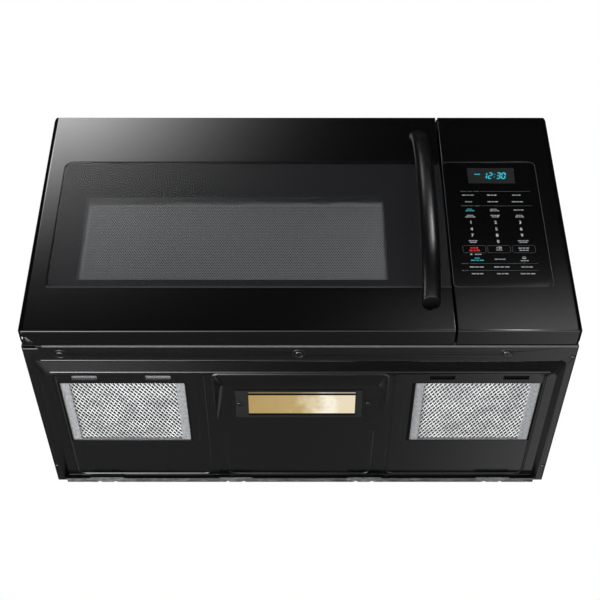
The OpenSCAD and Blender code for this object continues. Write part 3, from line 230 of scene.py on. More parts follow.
# %% Dark tent with soft spots
bpy.ops.object.select_all(action="DESELECT")
bpy.ops.mesh.primitive_cube_add(size=1, location=at(-400, 500, 1855))
tent = bpy.context.object
tent.scale = (9.0, 6.2, 6.89)
bpy.ops.object.transform_apply()
tent.name = "dark_tent"
glow = bpy.data.materials.new("dark cloth with soft spots")
glow.use_nodes = True
tree = glow.node_tree
tree.nodes.clear()
spot = add(tree, "ShaderNodeTexCoord")
# where a spot's middle is and how far it reaches to each side, in millimetres, and its strength
soft_spots = (
    ((-1262, -2600, 3658), (458, 300, 496), 12.1),   # upper left, over the door
    ((1115, -2600, 1953), (411, 300, 147), 1.6),     # low right, over the keypad
    ((1100, 2200, -1590), (330, 2600, 60), 0.55),    # a long one on the floor on the right
    ((1000, -2600, 1080), (180, 300, 170), 90.0),    # small and strong, for the handle's shine
    ((-4900, -1250, -950), (300, 450, 350), 22.0),   # far left, a small one for screws and edges
    ((-720, 200, -1590), (290, 420, 60), 13.0),      # on the floor on the left, for the folds and beads
    ((800, 200, -1590), (300, 420, 60), 1.6),        # a weak one across from it
    ((-1060, 3600, -930), (420, 200, 220), 0.5),     # at the back, for the ramp
    ((200, -900, -1590), (900, 350, 60), 3.0),       # on the floor in front, for the edges that face it
    ((2100, 3600, -300), (400, 200, 400), 0.2),      # two dim ones for the recess's side walls
    ((-2000, 3600, -300), (450, 200, 400), 0.2),
)
light = None
for middle, reach, strength in soft_spots:
    place = at(*middle)
    scaled = add(tree, "ShaderNodeMapping", {"Vector": spot.outputs["Object"],
                                             "Location": [-v / r * 1000 for v, r in zip(place, reach)],
                                             "Scale": [1000 / r for r in reach]})
    far = add(tree, "ShaderNodeVectorMath", {0: scaled, 1: scaled}, operation="DOT_PRODUCT")
    half = add(tree, "ShaderNodeMath", {0: far.outputs["Value"], 1: -0.5}, operation="MULTIPLY")
    fade = add(tree, "ShaderNodeMath", {0: half}, operation="EXPONENT")
    level = add(tree, "ShaderNodeMath", {0: fade, 1: strength}, operation="MULTIPLY")
    light = level if light is None else add(tree, "ShaderNodeMath", {0: light, 1: level})
# the dim level of the cloth: a little on the floor, almost none on the walls
parts = add(tree, "ShaderNodeSeparateXYZ", {"Vector": spot.outputs["Object"]})
low = add(tree, "ShaderNodeMath", {0: parts.outputs["Z"], 1: at(0, 0, -1500).z}, operation="LESS_THAN")
dim = add(tree, "ShaderNodeMapRange", {"Value": low, "To Min": 0.02, "To Max": 0.12})
total = add(tree, "ShaderNodeMath", {0: light, 1: dim})
shine = add(tree, "ShaderNodeEmission", {"Color": ink("#ffffff"), "Strength": total})
add(tree, "ShaderNodeOutputMaterial", {"Surface": shine})
tent.data.materials.append(glow)
tent.visible_camera = False
tent.visible_diffuse = False
tent.visible_shadow = False
tent.visible_transmission = False
print("tent faces:", len(tent.data.polygons))

# %% [markdown]
# Four area lamps light what isn't glossy: the main one from the upper left, a weak one from low in
# front, one from low on the left that grazes the filters, and one overhead for the top and the back.
# They stay at a level at which a colour renders about as it is written.

# %% Lamps
def lamp(name, place, aim, size, power):
    data = bpy.data.lights.new(name, "AREA")
    data.shape = "DISK"
    data.size = size
    data.energy = power
    made = bpy.data.objects.new(name, data)
    made.location = at(*place)
    made.rotation_euler = (at(*aim) - at(*place)).to_track_quat("-Z", "Y").to_euler()
    made.visible_glossy = False
    bpy.context.collection.objects.link(made)


lamp("Key", (-2200, -900, 2200), (0, 150, 200), 1.6, 90)
lamp("Low fill", (-700, -1500, -1400), (0, 150, 0), 1.4, 20)
lamp("Side fill", (-2000, 1200, -900), (0, 200, 0), 1.0, 50)
lamp("Overhead", (300, 900, 2900), (0, 150, 400), 2.0, 60)

# %% [markdown]
# The solids are exact, but a real edge is never razor sharp: it catches a thin line of light. So a
# solid that shows is copied and dressed. The copy's loose triangles are merged, its sharp edges get a
# small bevel, and its normals are weighted so that the flat faces stay flat in reflections. The flat
# faces stay triangles, because a merged face with a hole in it would close the hole. The dressed copy
# then replaces the plain solid and moves with the same body. Small new pieces are bars, joined to one
# piece that gets the same kind of soft edge.

# %% Dressing a solid
def fresh():
    if bpy.context.object and bpy.context.object.mode != "OBJECT":
        bpy.ops.object.mode_set(mode="OBJECT")
    bpy.ops.object.select_all(action="DESELECT")


def take(piece):
    fresh()
    piece.select_set(True)
    bpy.context.view_layer.objects.active = piece


def edit(piece):
    """Edit mode, with the whole mesh selected."""
    take(piece)
    bpy.ops.object.mode_set(mode="EDIT")
    bpy.ops.mesh.select_all(action="SELECT")


def shape(piece, kind, **settings):
    take(piece)
    step = piece.modifiers.new(kind.title(), kind)
    for name, value in settings.items():
        setattr(step, name, value)
    bpy.ops.object.modifier_apply(modifier=step.name)


def carry(piece, body, slot, *replaced):
    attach(piece, body)
    if replaced:
        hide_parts(*replaced)
    return piece


def body_of(node):
    return frame["nodes"][node]["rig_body"]


def join(name, pieces, finish, body, slot, edge=0.02):
    fresh()
    for piece in pieces:
        piece.select_set(True)
    bpy.context.view_layer.objects.active = pieces[0]
    bpy.ops.object.join()
    made = bpy.context.object
    made.name = name
    bpy.ops.object.transform_apply()
    if edge:
        shape(made, "BEVEL", width=edge / 1000, segments=1, limit_method="ANGLE", angle_limit=math.radians(40))
    made.data.materials.clear()
    made.data.materials.append(finish)
    return carry(made, body, slot)


def bar(x, z, wide, high, y=-0.06, deep=0.1):
    fresh()
    bpy.ops.mesh.primitive_cube_add(size=1, location=at(x, y + deep / 2, z))
    made = bpy.context.object
    made.scale = (wide / 1000, deep / 1000, high / 1000)
    bpy.ops.object.transform_apply()
    return made


def dressed(node, finish, edge=0.3, sharp=30, segments=2):
    fresh()
    piece = frame["nodes"][node].copy()
    piece.data = piece.data.copy()
    piece.name = node + "_finish"
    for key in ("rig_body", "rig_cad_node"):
        if key in piece:
            del piece[key]
    piece.parent = None
    piece.matrix_world = Matrix()
    bpy.context.collection.objects.link(piece)
    edit(piece)
    bpy.ops.mesh.remove_doubles(threshold=0.000004)
    bpy.ops.object.mode_set(mode="OBJECT")
    piece.data.materials.clear()
    piece.data.materials.append(finish)
    if edge:
        shape(piece, "BEVEL", width=edge / 1000, segments=segments, limit_method="ANGLE",
              angle_limit=math.radians(sharp), use_clamp_overlap=False)
    take(piece)
    bpy.ops.object.shade_smooth_by_angle(angle=math.radians(35))
    shape(piece, "WEIGHTED_NORMAL", keep_sharp=True, weight=80)
    return carry(piece, body_of(node), node, node)


# %% [markdown]
# Many features of the underside are one small cross-section drawn along a line: rolled edges, pressed
# beads, folds. One function turns a few corners into an even path, rounding each corner, and another
# wraps a grid round that path, one row of the grid for each corner of the cross-section.

# %% Bars along a path
def path_through(corners, radius, closed=False, steps=6):
    """Points of a path and the level direction across it, to the right of the way it runs."""
    places = [Vector(corner) for corner in corners]
    count = len(places)
    way = []
    for i, middle in enumerate(places):
        ahead = (places[(i + 1) % count] - middle).normalized()
        behind = (middle - places[i - 1]).normalized()
        if not closed and i in (0, count - 1):
            run = ahead if i == 0 else behind
            way.append((middle, Vector((run.y, -run.x, 0)).normalized()))
            continue
        cut = radius * math.tan(behind.angle(ahead) / 2)
        for k in range(steps + 1):
            t = k / steps
            run = behind * (1 - t) + ahead * t
            place = middle - behind * cut * (1 - t) ** 2 + ahead * cut * t ** 2
            way.append((place, Vector((run.y, -run.x, 0)).normalized()))
    return way


def swept(name, way, profile, finish, slot, closed=False, smooth=50):
    """A closed bar of the given cross-section, as (across, up) corners, drawn along a path."""
    along, sides = len(way) + (1 if closed else 0), len(profile) + 1
    fresh()
    bpy.ops.mesh.primitive_grid_add(x_subdivisions=along - 1, y_subdivisions=sides - 1, size=1)
    made = bpy.context.object
    made.name = name
    for corner in made.data.vertices:
        place, across = way[round((corner.co.x + 0.5) * (along - 1)) % len(way)]
        out, up = profile[round((corner.co.y + 0.5) * (sides - 1)) % len(profile)]
        corner.co = at(place.x + across.x * out, place.y + across.y * out, place.z + up)
    edit(made)
    bpy.ops.mesh.remove_doubles(threshold=0.000001)
    if not closed:
        bpy.ops.mesh.select_all(action="DESELECT")
        bpy.ops.mesh.select_non_manifold()
        bpy.ops.mesh.fill_holes(sides=0)
        bpy.ops.mesh.select_all(action="SELECT")
    bpy.ops.mesh.normals_make_consistent(inside=False)
    bpy.ops.object.mode_set(mode="OBJECT")
    bpy.ops.object.shade_smooth_by_angle(angle=math.radians(smooth))
    made.data.materials.append(finish)
    return carry(made, "chassis", slot)


# %% [markdown]
# The door frame and the control panel are moulded ABS, polished in the mould: deep black, glossy, with
# a very slight waviness that softens what it mirrors. The base colour is almost nothing, so all that
# the eye gets is reflection. The handle is the same plastic from a sanded mould: its highlights are
# wider. The grille comes from an etched mould, whose grain scatters nearly all light, so it looks matt.

# %% Moulded black plastics
abs_gloss = relief(material("gloss black ABS", "#050506", 0.11, IOR=1.54), 14, 0.05, 0.3)
abs_satin = relief(material("satin black ABS", "#040405", 0.34, Specular_IOR_Level=0.36), 1.2, 0.08, 0.05)
abs_matt = relief(material("matt black ABS", "#161617", 0.55, IOR=1.5), 0.9, 0.25, 0.06)

door_frame = dressed("door_frame", abs_gloss, 0.22)
dressed("control_panel", abs_gloss, 0.22)
# the panel's side turns inward behind the gap next to the door, and keeps the gap dark up to its top
edge_return = [bar(210.05, 208.9, 2.7, 416.6, 27.5, 6.1), bar(210.8, 405.7, 1.6, 23, 5, 24)]
join("panel_edge_return", edge_return, abs_matt, "chassis", "control_panel", 0.3)
print("door frame faces:", len(door_frame.data.polygons))

# %% [markdown]
# The handle is a bow: a flat arc in the middle and two tighter ones at the ends, with both ends cut off
# level. The solid's bar has a flat front, but the real one is crowned, so that light runs off it on both
# sides. Its cross-section is a rounded oval here, drawn along the same bow. Two feet stand behind it.
# The photograph shows no mirror image of the handle in the door, so the door doesn't see it.

# %% Handle
low, high = limits("handle")
handle_x, crown = 177, 0.87                       # a crown under 1 makes the oval a little squarer
crest, deep, wide = low.y + 9.5, 9.5, 12.5
half_high, mid_radius, end_radius, mid_angle = (high.z - low.z) / 2, 360, 150, math.radians(14.5)
middle_z = (low.z + high.z) / 2
end_angle = math.asin(math.sin(mid_angle) + (half_high - mid_radius * math.sin(mid_angle)) / end_radius) + 0.14


def bow_point(turn):
    """The bow's middle line at an angle from its crest, and the direction from its centre of bend."""
    bend = min(mid_angle, abs(turn))
    y = crest + mid_radius * (1 - math.cos(bend)) + end_radius * (math.cos(bend) - math.cos(abs(turn)))
    z = mid_radius * math.sin(bend) + end_radius * (math.sin(abs(turn)) - math.sin(bend))
    return y, middle_z + math.copysign(z, turn), Vector((0, -math.cos(turn), math.sin(turn)))


rows, around = 60, 40
fresh()
bpy.ops.mesh.primitive_grid_add(x_subdivisions=rows, y_subdivisions=around, size=1)
handle = bpy.context.object
handle.name = "handle_finish"
for corner in handle.data.vertices:
    y, z, out = bow_point((round((corner.co.x + 0.5) * rows) / rows * 2 - 1) * end_angle)
    turn = math.tau * round((corner.co.y + 0.5) * around) / around
    flat, tall = math.sin(turn), math.cos(turn)
    x = wide * math.copysign(abs(flat) ** crown, flat)
    lift = deep * math.copysign(abs(tall) ** crown, tall)
    corner.co = at(handle_x + x, y + out.y * lift, z + out.z * lift)
edit(handle)
bpy.ops.mesh.remove_doubles(threshold=0.000001)
for edge, way in ((low.z + 0.02, -1), (high.z - 0.02, 1)):
    bpy.ops.mesh.select_all(action="SELECT")
    bpy.ops.mesh.bisect(plane_co=at(0, 0, edge), plane_no=(0, 0, way), clear_outer=True, use_fill=True)
bpy.ops.mesh.select_all(action="SELECT")
bpy.ops.mesh.bisect(plane_co=at(0, -0.05, 0), plane_no=(0, 1, 0), clear_outer=True, use_fill=True)
bpy.ops.mesh.select_all(action="SELECT")
bpy.ops.mesh.normals_make_consistent(inside=False)
bpy.ops.object.mode_set(mode="OBJECT")
shape(handle, "BEVEL", width=0.0009, segments=3, limit_method="ANGLE", angle_limit=math.radians(40),
      use_clamp_overlap=True)
take(handle)
bpy.ops.object.shade_smooth_by_angle(angle=math.radians(35))
handle.data.materials.append(abs_satin)
feet = []
for z in (low.z + 12, high.z - 12):
    fresh()
    bpy.ops.mesh.primitive_cylinder_add(vertices=40, radius=0.0058, depth=0.012,
                                        location=at(handle_x, -6.1, z), rotation=(math.radians(90), 0, 0))
    feet.append(bpy.context.object)
join("handle_feet", feet, abs_satin, "door", "handle", 0.4)
carry(handle, "door", "handle", "handle")
handle.visible_glossy = False
nearest = (min(corner.co.y for corner in handle.data.vertices) - origin.y) * 1000
print("handle faces:", len(handle.data.polygons), "from y", round(nearest, 2), "solid", round(low.y, 2))

# %% [markdown]
# The door's glass is one dark pane. Round the window its back is printed with black ceramic ink, and
# the bare part in the middle shows the perforated screen behind it. The pane is see-through by its
# alpha, so lamps reach the screen without the noise of true refraction. The print is a thin sheet just
# inside the pane's back.

# %% Door glass and its print
# Toughened glass, tinted in the melt: nearly black, with a clean reflection that is a little soft.
pane_glass = material("smoked toughened glass", "#08090a", 0.2, IOR=1.6, Alpha=0.35)
dressed("door_glass", pane_glass, 0.45)

glass_low, glass_high = limits("door_glass")
window = (-310, 122, 92, 250)
fresh()
bpy.ops.mesh.primitive_grid_add(x_subdivisions=3, y_subdivisions=3, size=1, rotation=(math.radians(90), 0, 0))
ink_print = bpy.context.object
ink_print.name = "glass_ink_print"
bpy.ops.object.transform_apply(rotation=True)
columns = (glass_low.x + 1, window[0], window[1], glass_high.x - 0.4)
rows = (glass_low.z + 1, window[2], window[3], glass_high.z - 1)
for corner in ink_print.data.vertices:
    corner.co = at(columns[round((corner.co.x + 0.5) * 3)], 3.1, rows[round((corner.co.z + 0.5) * 3)])
bpy.ops.object.mode_set(mode="EDIT")
bpy.ops.mesh.select_all(action="DESELECT")
mesh = bmesh.from_edit_mesh(ink_print.data)
for face in mesh.faces:
    middle = (face.calc_center_median() - origin) * 1000
    face.select = window[0] < middle.x < window[1] and window[2] < middle.z < window[3]
bmesh.update_edit_mesh(ink_print.data)
bpy.ops.mesh.delete(type="FACE")
bpy.ops.object.mode_set(mode="OBJECT")
shape(ink_print, "SOLIDIFY", thickness=0.00006, offset=0)
# Ceramic ink fired on the glass: matt, and a shade greyer than the moulded frame round the pane.
ink_print.data.materials.append(relief(material("black ceramic ink", "#29292c", 0.7, Specular_IOR_Level=0.1), 0.4,
                                       0.1, 0.02))
carry(ink_print, "door", "door_glass")
# A grey bar along the pane's lower edge: a painted highlight, the thin light line that the edge catches.
painted_highlight = mottle(material("ground glass edge", "#4c4d50", 0.5, Specular_IOR_Level=0.3), 2, "#48494c", "#525356")
lower_edge = bar((glass_low.x + glass_high.x) / 2, glass_low.z + 0.3, glass_high.x - glass_low.x - 1, 1.0,
                 -0.04, 0.2)
join("glass_lower_edge", [lower_edge], painted_highlight, "door", "door_glass", 0.04)
print("print sheet:", len(ink_print.data.polygons), "faces")

# %% [markdown]
# The screen behind the window is steel sheet with thousands of small holes, in dark grey enamel. The
# real holes are about 1.2 mm across and 2 mm apart, too fine for this picture. They are drawn 3.4 mm
# apart in staggered rows, as coarse as they need to be to show, and stop short in a plain band at the
# top and on the left, as the real sheet's edge does.

# %% Perforated screen
screen_steel = material("enamelled perforated steel", "#c0c2c6", 0.48, 0.8)
tree = screen_steel.node_tree
spot = add(tree, "ShaderNodeTexCoord")
parts = add(tree, "ShaderNodeSeparateXYZ", {"Vector": spot.outputs["Object"]})
pitch = 0.0034
dots = None
for step in (0.0, 0.5):
    across = add(tree, "ShaderNodeMath", {0: parts.outputs["X"], 1: 1 / pitch, 2: step}, operation="MULTIPLY_ADD")
    upward = add(tree, "ShaderNodeMath", {0: parts.outputs["Z"], 1: 1 / (pitch * 1.732), 2: step},
                 operation="MULTIPLY_ADD")
    cell_x = add(tree, "ShaderNodeMath", {0: across}, operation="FRACT")
    cell_z = add(tree, "ShaderNodeMath", {0: upward}, operation="FRACT")
    cell = add(tree, "ShaderNodeCombineXYZ", {"X": cell_x, "Y": cell_z})
    middle = add(tree, "ShaderNodeVectorMath", {0: cell, 1: (0.5, 0.5, 0)}, operation="SUBTRACT")
    round_up = add(tree, "ShaderNodeVectorMath", {0: middle, 1: (1, 1.732, 1)}, operation="MULTIPLY")
    far = add(tree, "ShaderNodeVectorMath", {0: round_up}, operation="LENGTH")
    hole = add(tree, "ShaderNodeMapRange", {"Value": far.outputs["Value"], "From Min": 0.26, "From Max": 0.36,
                                            "To Min": 1.0, "To Max": 0.0})
    dots = hole if dots is None else add(tree, "ShaderNodeMath", {0: dots, 1: hole}, operation="MAXIMUM")
# the field of holes stops 20 mm under the window's top edge and 6 mm from its left edge
top = add(tree, "ShaderNodeMath", {0: parts.outputs["Z"], 1: at(0, 0, 239).z}, operation="LESS_THAN")
left = add(tree, "ShaderNodeMath", {0: parts.outputs["X"], 1: at(-304, 0, 0).x}, operation="GREATER_THAN")
field = add(tree, "ShaderNodeMath", {0: top, 1: left}, operation="MULTIPLY")
shown = add(tree, "ShaderNodeMath", {0: dots, 1: field}, operation="MULTIPLY")
tone = add(tree, "ShaderNodeValToRGB", {"Fac": shown}, [(0.0, "#c6c8cc"), (1.0, "#6a6b6e")])
feed(screen_steel, "Base Color", tone)
dressed("door_screen", screen_steel, 0.1)
print("screen holes:", pitch * 1000, "mm apart")

# %% [markdown]
# The keypad is a black acrylic sheet, flush with the panel and with a fine groove round it. Acrylic is
# smoother than the moulded panel, so its reflections are sharper. The sheet is cut with rounded corners,
# and its edge catches a fine line of light all round. That line is a painted highlight here: a grey plane
# whose corners are bevelled. An inset leaves a narrow rim, the middle is deleted, and Solidify gives the rim a
# thickness.

# %% Keypad overlay
acrylic = relief(material("gloss black acrylic", "#060607", 0.09, IOR=1.49), 18, 0.04, 0.3)
dressed("control_overlay", acrylic, 0.45)
overlay_low, overlay_high = limits("control_overlay")
fresh()
bpy.ops.mesh.primitive_plane_add(size=1)
outline = bpy.context.object
outline.name = "overlay_outline"
outline.scale = ((overlay_high.x - overlay_low.x + 0.4) / 1000, (overlay_high.z - overlay_low.z + 0.4) / 1000, 1)
outline.rotation_euler = (math.radians(90), 0, 0)
bpy.ops.object.transform_apply(rotation=True, scale=True)
edit(outline)
bpy.ops.mesh.bevel(offset=0.0082, segments=8, affect="VERTICES")
bpy.ops.mesh.select_all(action="SELECT")
bpy.ops.mesh.inset(thickness=0.0008)
bpy.ops.mesh.delete(type="FACE")
bpy.ops.object.mode_set(mode="OBJECT")
outline.data.transform(Matrix.Translation(at((overlay_low.x + overlay_high.x) / 2, 0,
                                             (overlay_low.z + overlay_high.z) / 2)))
shape(outline, "SOLIDIFY", thickness=0.00008, offset=0)
# Dark grey and dull: a painted highlight along the overlay's cut edge.
outline.data.materials.append(mottle(material("overlay edge, painted highlight", "#343537", 0.5, Specular_IOR_Level=0.3), 3,
                                     "#303133", "#38393b"))
carry(outline, "chassis", "control_overlay")
print("outline faces:", len(outline.data.polygons))

# %% [markdown]
# The keys are only printed on the sheet, with ink pressed through a fine screen: a flat, dull film of
# which the eye gets little but its colour. A key's label is a short bar broken into strokes, and the
# keys' outlines are thin bars. Each list holds middles and widths, and what has one colour is one piece.

# %% Printed labels, lines and key outlines
grey_ink = relief(material("light grey screen ink", "#a9abad", 0.5), 0.5, 0.1, 0.01)
dim_ink = relief(material("dim grey screen ink", "#55575a", 0.5), 0.5, 0.1, 0.01)
teal_ink = relief(material("teal screen ink", "#2aa3ab", 0.5), 0.5, 0.1, 0.01)
red_ink = relief(material("red screen ink", "#c4141c", 0.5), 0.5, 0.1, 0.01)


def word(x, z, wide, high=1.7):
    """A label: a bar broken into strokes of uneven length, with gaps between them."""
    strokes = []
    left = x - wide / 2
    for share in (0.34, 0.22, 0.30):
        strokes.append(bar(left + share * wide / 2, z, share * wide, high))
        left += (share + 0.07) * wide
    return strokes


grey_words = []
for x, z, wide in ((245, 251.0, 17), (280, 251.0, 14), (316, 251.0, 12), (245, 237.6, 10), (280, 237.6, 15),
                   (316, 237.6, 16), (280, 222.6, 9), (281, 219.6, 13), (316, 221.2, 14),
                   (245, 210.6, 9), (245, 207.6, 14), (281, 210.6, 13), (281, 207.6, 10), (316, 210.6, 9),
                   (316, 207.6, 12), (245, 161.6, 12), (245, 158.6, 9), (316, 161.6, 15), (316, 158.6, 11),
                   (280.4, 144.2, 8), (315.4, 147.8, 15), (315.4, 143.6, 13),
                   (280, 127.0, 15), (314, 124.2, 11), (246, 112.7, 19), (281, 112.7, 21), (316, 112.7, 16),
                   (246, 100.4, 16), (281, 100.4, 16), (316, 100.4, 20), (250, 136.1, 9)):
    grey_words += word(x, z, wide)
join("keypad_words", grey_words, grey_ink, "chassis", "control_overlay")
teal_words = []
for x, z, wide in ((245, 223.0, 7), (245.5, 219.8, 13), (248, 129.0, 7), (248, 125.0, 18)):
    teal_words += word(x, z, wide, 2.0)
join("keypad_teal_words", teal_words, teal_ink, "chassis", "control_overlay")
red_words = []
for x, z, wide in ((245.5, 148.0, 11), (245.5, 143.4, 15)):
    red_words += word(x, z, wide, 2.8)
join("keypad_red_words", red_words, red_ink, "chassis", "control_overlay")
lines = []
for z, low, high, lead in ((258.5, 234.6, 336.8, 27), (229.6, 233.4, 336.3, 28), (119.1, 225.6, 332, 9),
                           (106.4, 224.9, 331.9, 9)):
    lines.append(bar((low + lead + high) / 2 + 1, z, high - low - lead - 2, 0.45))
    lines += word(low + lead / 2, z, lead, 1.1)
lines += word(306, 119.1, 17, 1.1)
for low, high in ((229.3, 261.7), (264.5, 296.2), (299.4, 331.4)):
    for z in (139.1, 152.6):
        lines.append(bar((low + high) / 2, z, high - low - 1.6, 0.4))
    for x in (low, high):
        lines.append(bar(x, 145.85, 0.4, 11.9))
join("keypad_lines", lines, dim_ink, "chassis", "control_overlay")
print("printed strokes:", len(grey_words) + len(teal_words) + len(red_words) + len(lines))

# %% [markdown]
# The digits are text objects, turned into meshes before their place is applied. Text is the quickest
# way to a round, even shape. Two plain signs stand beside them: a padlock, which is a ring over a bar,
# and a small square.

# %% Printed digits and signs
def lettering(text, x, z, high):
    fresh()
    bpy.ops.object.text_add(location=at(x, -0.06, z), rotation=(math.radians(90), 0, 0))
    made = bpy.context.object
    made.data.body = text
    made.data.size = high * 1.4 / 1000
    made.data.extrude = 0.00004
    made.data.resolution_u = 3
    made.data.align_x = "CENTER"
    made.data.align_y = "CENTER"
    bpy.ops.object.convert(target="MESH")
    return bpy.context.object


digits = []
for row, z in (("123", 196.7), ("456", 183.9), ("789", 171.8)):
    for text, x in zip(row, (245, 280.3, 315.6)):
        digits.append(lettering(text, x, z, 5.7))
digits.append(lettering("0", 280.5, 160.0, 5.4))
digits.append(lettering("+30", 280.4, 148.2, 3.8))
white_ink = relief(material("white screen ink", "#f0f1f2", 0.5), 0.5, 0.1, 0.01)
join("keypad_digits", digits, white_ink, "chassis", "control_overlay", 0)

# the padlock over the last column, and the square over the first
fresh()
bpy.ops.mesh.primitive_torus_add(location=at(314, -0.02, 129.6), rotation=(math.radians(90), 0, 0),
                                 major_radius=0.0022, minor_radius=0.00035, major_segments=24, minor_segments=6)
signs = [bpy.context.object, bar(314, 128.6, 5.6, 1.2), bar(240.4, 136.1, 2.6, 2.6)]
join("keypad_signs", signs, grey_ink, "chassis", "control_overlay", 0)
print("digits and signs:", len(digits) + len(signs))

# %% [markdown]
# The clock is a vacuum-fluorescent display: glowing blue-green strokes behind a dark grey filter. Each
# digit is built from the seven strokes that a real one has, and leans a little, as in the photograph.
# One stroke is modelled, a bar with its ends drawn to points, and copied for the rest.

# %% Clock display
# Smoked display window: dark grey, with a soft satin surface.
smoked = relief(material("smoked acrylic filter", "#131415", 0.32, Specular_IOR_Level=0.25), 0.8, 0.08, 0.02)
filter_pane = bar(282.5, 290.8, 69, 31.6, -0.03, 0.06)
join("display_window", [filter_pane], smoked, "chassis", "display_module")

# Phosphor glows by itself: what the eye gets is its emission, over a base of nearly nothing.
glow_blue = material("blue-green phosphor", "#06343a", 0.5, Emission_Color=ink("#25d3e6"), Emission_Strength=1.0)


def stroke(x, z, long, upright):
    fresh()
    bpy.ops.mesh.primitive_cube_add(size=1)
    made = bpy.context.object
    made.scale = (long / 1000, 0.00008, 1.5 / 1000)
    bpy.ops.object.transform_apply(scale=True)
    bpy.ops.object.mode_set(mode="EDIT")
    bpy.ops.mesh.select_all(action="DESELECT")
    mesh = bmesh.from_edit_mesh(made.data)
    for edge in mesh.edges:
        ends = [corner.co for corner in edge.verts]
        edge.select = abs(ends[0].x - ends[1].x) < 1e-9 and abs(ends[0].z - ends[1].z) < 1e-9
    bmesh.update_edit_mesh(made.data)
    bpy.ops.mesh.bevel(offset=0.0006, segments=1, affect="EDGES")
    bpy.ops.object.mode_set(mode="OBJECT")
    if upright:
        made.rotation_euler = (0, math.radians(90), 0)
        bpy.ops.object.transform_apply(rotation=True)
    made.data.transform(Matrix.Translation(at(x, -0.1, z)))
    return made


# which strokes each digit lights, lettered clockwise from the top one, with the middle one last
lit = {"1": "bc", "2": "abged", "3": "abgcd", "0": "abcdef"}
tall, slant, clock_z = 11.8, 0.18, 290.6
strokes = []
for text, x in (("1", 273.6), ("2", 281.4), ("3", 293.6), ("0", 301.0)):
    places = {"a": (0, tall / 2, 0), "g": (0, 0, 0), "d": (0, -tall / 2, 0), "b": (2.4, tall / 4, 1),
              "c": (2.4, -tall / 4, 1), "f": (-2.4, tall / 4, 1), "e": (-2.4, -tall / 4, 1)}
    for name in lit[text]:
        dx, dz, upright = places[name]
        strokes.append(stroke(x + dx + dz * slant, clock_z + dz, tall / 2 - 1.2 if upright else 4.0, upright))
# the colon, and three small strokes on the left
strokes += [stroke(287.7 + dz * slant, clock_z + dz, 1.5, 0) for dz in (2.8, -2.8)]
strokes += [stroke(262.2 + dx, 293.6, 2.6, 0) for dx in (-2.6, 0.2, 3.0)]
join("clock_strokes", strokes, glow_blue, "chassis", "display_module", 0)
print("clock strokes:", len(strokes))

# %% [markdown]
# The underside is one steel pressing, painted a satin charcoal. The paint has a fine orange-peel grain
# and little gloss. Every edge of the pressing that turns by more than 18 degrees gets a narrow bevel, the
# rims of the slots and openings too, while the shallow folds of the ramp and the lamp's hollow get soft
# ridges of their own further down. The case has the duller, greyer paint of a part that is meant to be out of
# sight.

# %% Painted steel
pan_paint = relief(mottle(material("charcoal powder coat", "#08080a", 0.19, IOR=1.6), 5, "#070708", "#0b0b0d",
                          (0.17, 0.22)), 0.9, 0.1, 0.02)
case_paint = relief(mottle(material("black powder coat", "#101011", 0.42, Specular_IOR_Level=0.4), 6, "#0e0e0f",
                           "#131314", (0.36, 0.46)), 0.8, 0.12, 0.05)
pan = dressed("base_pan", pan_paint, 0.5, 18)
dressed("outer_case", case_paint, 0.4)
dressed("front_plate", case_paint, 0.25)
dressed("vent_grille", abs_matt, 0.4)
dressed("lamp_cover", case_paint, 0.3)
print("pan faces:", len(pan.data.polygons))

# %% [markdown]
# The pressed shapes of the underside have soft edges that catch the light from the floor. Each of the
# ramp's two long folds is a low ridge with a short front side, the hem is the pan's front edge rolled over
# on itself, in a lighter grey that paints the highlight along it, and the beads are the raised lines round
# the three flat fields. Each cross-section has a facet that faces the front, because that one mirrors the soft
# spots on the floor.

# %% Folds, hem and beads of the underside
# Grey, dull and uneven: a painted highlight, the bright line along the rolled front edge.
hem_painted_highlight = relief(mottle(material("rolled steel edge, painted highlight", "#5d5e60", 0.4, Specular_IOR_Level=0.4), 3,
                           "#555658", "#66676a", (0.35, 0.45)), 0.7, 0.1, 0.03)

# cross-sections as (towards the front, up): a short steep front side, then the back side
upper_fold = [(0.5, 0.4), (0.45, 0.02), (0.3, -0.04), (-0.3, -0.38), (-0.6, -0.44), (-1.0, -0.38), (-2.4, -0.02),
              (-4.2, 0.72), (-4.2, 1.4)]
lower_fold = [(1.0, 0.4), (0.9, -0.15), (0.6, -0.16), (-0.35, -0.7), (-0.6, -0.78), (-0.9, -0.72), (-1.3, -0.45),
              (-1.6, 0.02), (-1.6, 0.4)]
for name, reach, y, z, fold in (("upper", 357, 66, 0, upper_fold), ("lower", 351, 103, 7, lower_fold)):
    swept(f"ramp_{name}_fold", path_through([(-reach, y, z), (reach, y, z)], 0), fold, pan_paint, "base_pan",
          smooth=20)
hem = [(0.0, 0.4), (0.0, -0.5), (-0.3, -0.85), (-3.6, -0.85), (-4.0, -0.5), (-4.0, 0.02), (-2.2, 0.02),
       (-2.2, 0.4)]
swept("pan_front_hem", path_through([(-351, 31.8, 0), (377, 31.8, 0)], 0), hem, hem_painted_highlight, "base_pan")
swept("pan_notch_hem", path_through([(-377, 38.2, 0), (-357, 38.2, 0)], 0),
      [(0.0, 0.3), (0.0, -0.35), (-0.3, -0.6), (-1.8, -0.6), (-2.0, 0.3)], hem_painted_highlight, "base_pan")


def arch(wide, proud, steps=8):
    turn = [math.pi * k / steps for k in range(steps + 1)]
    return [(wide / 2 * math.cos(a), -proud * math.sin(a)) for a in turn] + [(-wide / 2, 0.4), (wide / 2, 0.4)]


